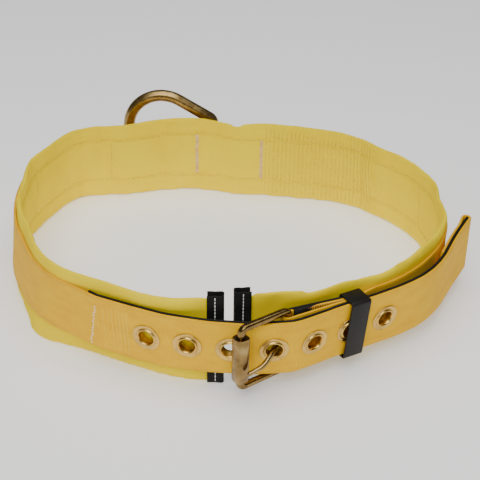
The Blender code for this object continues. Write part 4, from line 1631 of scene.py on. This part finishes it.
# The black layers stand a little proud of the webbing's edge, and are fuller there
BLACK_RISE = 0.35
BLACK_MORE = 0.5
CORE_START_X = -104.0
CORE_PLAY = 0.1

# Wedge of the gathered liner, thick by the buckle's back bar and thin at its end
LINER_FOLD = ((36.0, 7.8), (44.0, 11.9), (53.5, 16.6))
LINER_FOLD_THICK = 5.6
LINER_FOLD_THIN = 1.3
LINER_FOLD_FOOT = 0.3

# Rows of stitches: pitch, length, thickness and depth in the cloth
BELT_SEAM = (3.3, 2.7, 0.62, 0.1)
PAD_SEAM = (STITCH_PITCH, 2.3, 0.75, 0.05)
CROSS_SEAM = (3.0, 2.4, 0.75, 0.05)
PAD_RIB = (5.2, 5.8, 0.6, 0.12)
BINDING_SEAM = (2.8, 2.6, 0.85, 0.05)
# Bright beads laid as rows of stitches, which paint highlights on the tongue's ribs
TONGUE_RIB = (2.6, 2.9, 0.75, 0.12)
TAB_SEAM = (3.0, 2.5, 0.75, 0.05)

# Zigzag tacks: length, thickness and slant of a stitch
PALE_TACK = (3.4, 1.2, 0.35)
WHITE_TACK = (2.4, 0.8, 1.3)
BROWN_STITCH = (1.6, 1.0, 0.3)

# White tack at the tongue's left, from its foot to its top, and the painted highlights on the ribs
# right of it
TACK_FOOT_X = -104.6
TACK_LEAN_X = 6.0
TACK_FOOT = BELT_LOW + 2.5
TACK_TALL = 34.5
TACK_STITCHES = 13
TONGUE_RIB_XS = (-94.0, -90.6, -87.0, -84.6, -82.0, -78.6, -76.0)

# Brown stitches inside the buckle's loop
BROWN_HEIGHTS = (BELT_HIGH - 0.9, BELT_HIGH - 2.3, BELT_HIGH - 3.7, BELT_LOW + 2.5)
BROWN_PITCH = 2.1
BROWN_REACH = 14.0


def strap_line(rows, height, out):
    """Points beside a strap at one height."""
    return [stand_beside(x, y, height, lean, n, out)
            for (x, y, lean), n in zip(rows, mitres(rows))]


def nearest(values, target):
    """Which of the values is nearest to a target."""
    return min(range(len(values)), key=lambda k: abs(values[k] - target))


def zigzag(spot, normal, plan_normal, turn, stitch, rise=0.0):
    """Slanted stitch of a tack; every second one slants the other way."""
    length, thickness, slant = stitch
    way = Vector((plan_normal.y, -plan_normal.x, slant if turn % 2 else -slant))
    return (spot + normal * (rise * MM), way, normal, length, thickness)


def inside_line(row, normal, heights):
    """Points a little inside the waist, beside the pad at one row."""
    x, y, top, lean = row
    return [stand_beside(x, y, height, lean, normal, -PAD_HALF - 2.0) for height in heights]


def make_liner_fold():
    """The black liner gathered into a wedge beside the buckle's back bar."""
    line = even_rows([(x, y, FRAME_LEAN) for x, y in LINER_FOLD], 1.5)
    sections = []
    for i, ((x, y, lean), n) in enumerate(zip(line, mitres(line))):
        thickness = LINER_FOLD_THICK + (LINER_FOLD_THIN - LINER_FOLD_THICK) * i / (len(line) - 1)
        profile = strap_profile(BELT_LOW + LINER_FOLD_FOOT, BELT_HIGH + BLACK_RISE, thickness, 4)
        sections.append([stand_beside(x, y, height, lean, n, out) for height, out in profile])
    return soft_mesh("liner_fold", sections, lengths(line), [height for height, out in profile])


def make_pad_threads(pad, pad_parts):
    """Rows of stitches, fine ribs and the tab's two tacks on the inside of the pad."""
    rows, marks, normals, find = pad_parts
    seams = []
    reach = BINDING_REACH + 3.0
    inner = [i for i, mark in enumerate(marks) if reach < mark < marks[-1] - reach]
    for height in (SEAM_LOW, SEAM_HIGH):
        line = [inside_line(rows[i], normals[i], [height])[0] for i in inner]
        seams += row_of_stitches(pad, line, *PAD_SEAM)
    tacks = []
    heights = [MID_HEIGHT - 19.0 + 38.0 * k / 29 for k in range(30)]
    for x in TACK_XS:
        i = nearest(marks, run_of(find, x, TACK_Y))
        for k, guess in enumerate(inside_line(rows[i], normals[i], heights)):
            spot, normal = on_surface(pad, guess)
            tacks.append(zigzag(spot, normal, normals[i], k, PALE_TACK, 0.25))
    heights = (SEAM_LOW + 2.0, MID_HEIGHT, SEAM_HIGH - 2.0)
    for x, y, depth, width in CROSS_SEAMS:
        i = nearest(marks, run_of(find, x, y))
        seams += row_of_stitches(pad, inside_line(rows[i], normals[i], heights), *CROSS_SEAM)
    sew("pad_seam_threads", seams, SURFACES["lemon_thread"], "pad_cloth")
    ribs = []
    first = run_of(find, *RIBS_FROM)
    for k in range(int((run_of(find, *RIBS_TO) - first) / RIB_PITCH)):
        mark = first + k * RIB_PITCH
        i = nearest(marks, mark)
        along = Vector((normals[i].y, -normals[i].x, 0.0)) * ((mark - marks[i]) * MM)
        heights = (4.0, SEAM_LOW, MID_HEIGHT, SEAM_HIGH, rows[i][2] - 5.0)
        line = [point + along for point in inside_line(rows[i], normals[i], heights)]
        ribs += row_of_stitches(pad, line, *PAD_RIB)
    sew("pad_rib_threads", ribs, SURFACES["lemon_thread"], "pad_cloth")
    sew("ring_tab_tacks_inside", tacks, SURFACES["pale_thread"], "pad_cloth")


def make_binding_threads(bindings):
    """One white row of stitches on each side of both tapes."""
    spots = []
    for tape, middle, normal, side, end in bindings:
        for sign in (1.0, -1.0):
            spot = middle + normal * (side * sign)
            away = Vector((normal.x, normal.y, 0.0)) * (sign * 2.0 * MM)
            line = [stand(spot.x, spot.y, height, end[3]) + away
                    for height in (1.5, MID_HEIGHT, end[2] - 1.0)]
            spots += row_of_stitches(tape, line, *BINDING_SEAM)
    sew("binding_threads", spots, SURFACES["white_thread"], "black_tape")


def make_tongue_threads_and_highlights(belt, tongue, sewn):
    """White zigzag tack, and raised bright beads at the tongue's left that paint highlights on its
    ribs.
    """
    face = WEBBING / 2 + 2.0
    curve = [row for row in even_rows([*tongue, *sewn], 1.0) if row[1] < 60.0]
    xs = [row[0] for row in curve]

    def beside_tongue(x, heights):
        i = nearest(xs, x)
        n = mitres(curve[i - 1:i + 2])[1]
        x, y, lean = curve[i][:3]
        return [stand_beside(x, y, height, lean, n, face) for height in heights], n
    tack = []
    for k in range(TACK_STITCHES):
        share = k / (TACK_STITCHES - 1)
        guess, n = beside_tongue(TACK_FOOT_X + TACK_LEAN_X * share,
                                 [TACK_FOOT + TACK_TALL * share])
        spot, normal = on_surface(belt, guess[0])
        tack.append(zigzag(spot, normal, n, k, WHITE_TACK, 0.05))
    sew("white_tack", tack, SURFACES["white_thread"], "webbing")
    ribs = []
    # Painted highlights: bright beads along the tongue's ribs, laid as stitches
    for x in TONGUE_RIB_XS:
        line, n = beside_tongue(x, (BELT_LOW + 3.5, MID_HEIGHT, BELT_HIGH - 4.5))
        ribs += row_of_stitches(belt, line, *TONGUE_RIB)
    sew("tongue_rib_threads", ribs, SURFACES["bright_thread"], "webbing")


def last_front_face(item, start, reach):
    """Last face towards the front that a line going back from a point meets."""
    back = Vector((0.0, 1.0, 0.0))
    end = start.y + reach * MM
    found = None
    while start.y < end:
        hit, spot, normal, face = item.ray_cast(start, back)
        if not hit or spot.y > end:
            break
        if normal.y < 0:
            found = (spot, normal)
        start = spot + back * (0.1 * MM)
    return found


def make_loop_threads(belt, keeper_flat):
    """Brown stitches on the run behind the buckle, inside its loop."""
    left = beside(keeper_flat, -KEEPER_SHIFT + KEEPER_WIDTH / 2 + 2.0,
                  stack_offsets()["outer_run"])
    bar = back_bar()
    line = even_rows([(bar.x + 9.0, bar.y - 1.0, FRAME_LEAN), left], 2.0)
    spots = []
    for height in BROWN_HEIGHTS:
        for k, (x, y, lean) in enumerate(even_rows(line, BROWN_PITCH)):
            found = last_front_face(belt, stand(x, y, height, lean), BROWN_REACH)
            if found:
                spot, normal = found
                spots.append(zigzag(spot, normal, normal, k, BROWN_STITCH))
    sew("fold_back_threads", spots, SURFACES["brown_thread"], "webbing")


def make_threads_and_rib_highlights(belt, pad, pad_parts, bindings, sewn, tongue, keeper_flat):
    """Every visible row of stitches but the tab's, and the bright beads that paint highlights on
    the tongue's ribs.
    """
    fine = even_rows(sewn, 3.0)
    gold = []
    for height in (SEAM_LOW, SEAM_HIGH):
        gold += row_of_stitches(belt, strap_line(fine, height, WEBBING / 2 + 0.2), *BELT_SEAM)
    sew("belt_seam_threads", gold, SURFACES["gold_thread"], "webbing")
    make_pad_threads(pad, pad_parts)
    make_binding_threads(bindings)
    make_tongue_threads_and_highlights(belt, tongue, sewn)
    make_loop_threads(belt, keeper_flat)


def make_tab(sewn):
    """Webbing tab with the pocket for the ring's bar, and its two cross tacks."""
    low = MID_HEIGHT - TAB_HEIGHT / 2
    tab = strap("ring_tab", tab_rows(sewn), low, low + TAB_HEIGHT, WEBBING, bend=1.5)
    dress(tab, SURFACES["webbing"], "belt", "webbing", "d_ring_tab")
    path = even_rows(tab_rows(sewn), 1.0)
    away = Vector((0.0, 4.0 * MM, 0.0))
    lift = Vector((0.0, 0.0, (TAB_HEIGHT / 2 - 3.5) * MM))
    spots = []
    for part in (path[3:22], path[-22:-3]):
        a, b = [stand(x, y, MID_HEIGHT, lean) + away for x, y, lean in (part[0], part[-1])]
        for line in ((a - lift, b - lift), (b - lift, b + lift), (b + lift, a + lift),
                     (a + lift, a - lift), (a - lift, b + lift), (b - lift, a + lift)):
            spots += row_of_stitches(tab, list(line), *TAB_SEAM)
    sew("tab_threads", spots, SURFACES["gold_thread"], "webbing")


def make_black_layers(tongue, flats, sewn, keeper_flat):
    """The tongue's stiff core, the loop's liner and the liner's gathered wedge."""
    line = even_rows(offset_rows([*tongue, sewn[0]], -WEBBING_TO_CORE - CORE_PLAY), 1.0)
    path = [row for row in line if row[0] > CORE_START_X]
    core = strap("tongue_stiffener", path, BELT_LOW, BELT_HIGH + BLACK_RISE, CORE + BLACK_MORE)
    punch(core, flats)
    dress(core, SURFACES["tape"], "belt", "black_tape", "tongue_core")
    liner = strap("loop_liner", liner_rows(keeper_flat), BELT_LOW, BELT_HIGH + BLACK_RISE,
                  LINER + BLACK_MORE)
    dress(liner, SURFACES["tape"], "belt", "black_tape", "buckle_liner")
    dress(make_liner_fold(), SURFACES["tape"], "belt", "black_tape")


def make_all():
    """Make every piece of the belt."""
    make_stage()
    pad, pad_parts = make_pad()
    ends = pad_rows(1)
    bindings = [make_binding(f"end_tape_{side}", f"pad_binding_{side}", end, inner)
                for side, end, inner in (("left", ends[0], ends[1]),
                                         ("right", ends[-1], ends[-2]))]
    tongue, flats = tongue_rows()
    keeper_flat = flats[KEEPER_GROMMET - 1]
    sewn = sewn_rows(pad_rows(4))
    belt = make_belt(tongue, flats, sewn, keeper_flat)
    make_black_layers(tongue, flats, sewn, keeper_flat)
    make_grommets(flats)
    make_frame()
    make_roller()
    make_prong()
    make_keeper(keeper_flat)
    make_tab(sewn)
    make_ring()
    make_threads_and_rib_highlights(belt, pad, pad_parts, bindings, sewn, tongue, keeper_flat)


# Dark and light colour of each thread
THREADS = {
    "gold_thread": ((0.50, 0.22, 0.0), (0.72, 0.38, 0.005)),
    "lemon_thread": ((0.66, 0.42, 0.0), (0.85, 0.62, 0.01)),
    "pale_thread": ((0.80, 0.50, 0.22), (0.95, 0.70, 0.42)),
    # Painted highlight: bright beads on the tongue's ribs, made of thread
    "bright_thread": ((0.96, 0.60, 0.0), (1.0, 0.72, 0.0)),
    "white_thread": ((0.90, 0.88, 0.82), (1.0, 0.99, 0.96)),
    "brown_thread": ((0.07, 0.03, 0.004), (0.30, 0.14, 0.015)),
}


SURFACES = {
    "pad": pad_surface(),
    "webbing": woven_surface("gold_webbing", (0.86, 0.44, 0.0), (0.96, 0.535, 0.0),
                             (1.0, 0.61, 0.002), BELT_LOW, BELT_HIGH),
    "tape": woven_surface("black_tape", (0.006, 0.006, 0.006), (0.010, 0.010, 0.010),
                          (0.020, 0.019, 0.018), 0.0, PAD_HEIGHT),
    **{name: thread_surface(name, dark, light) for name, (dark, light) in THREADS.items()},
    "brass": metal_surface("pressed_brass", (0.46, 0.28, 0.065), (0.66, 0.44, 0.12),
                           (0.80, 0.50, 0.11), 0.30, 0.3),
    "bronze": metal_surface("dull_bronze", (0.14, 0.085, 0.027), (0.27, 0.175, 0.06),
                            (0.42, 0.30, 0.12), 0.25, 0.6),
    "zinc": metal_surface("yellow_zinc", (0.24, 0.15, 0.05), (0.38, 0.25, 0.09),
                          (0.52, 0.38, 0.16), 0.30, 0.25),
    "moulded": moulded_surface(),
}
STITCH = stitch_shape()
make_all()
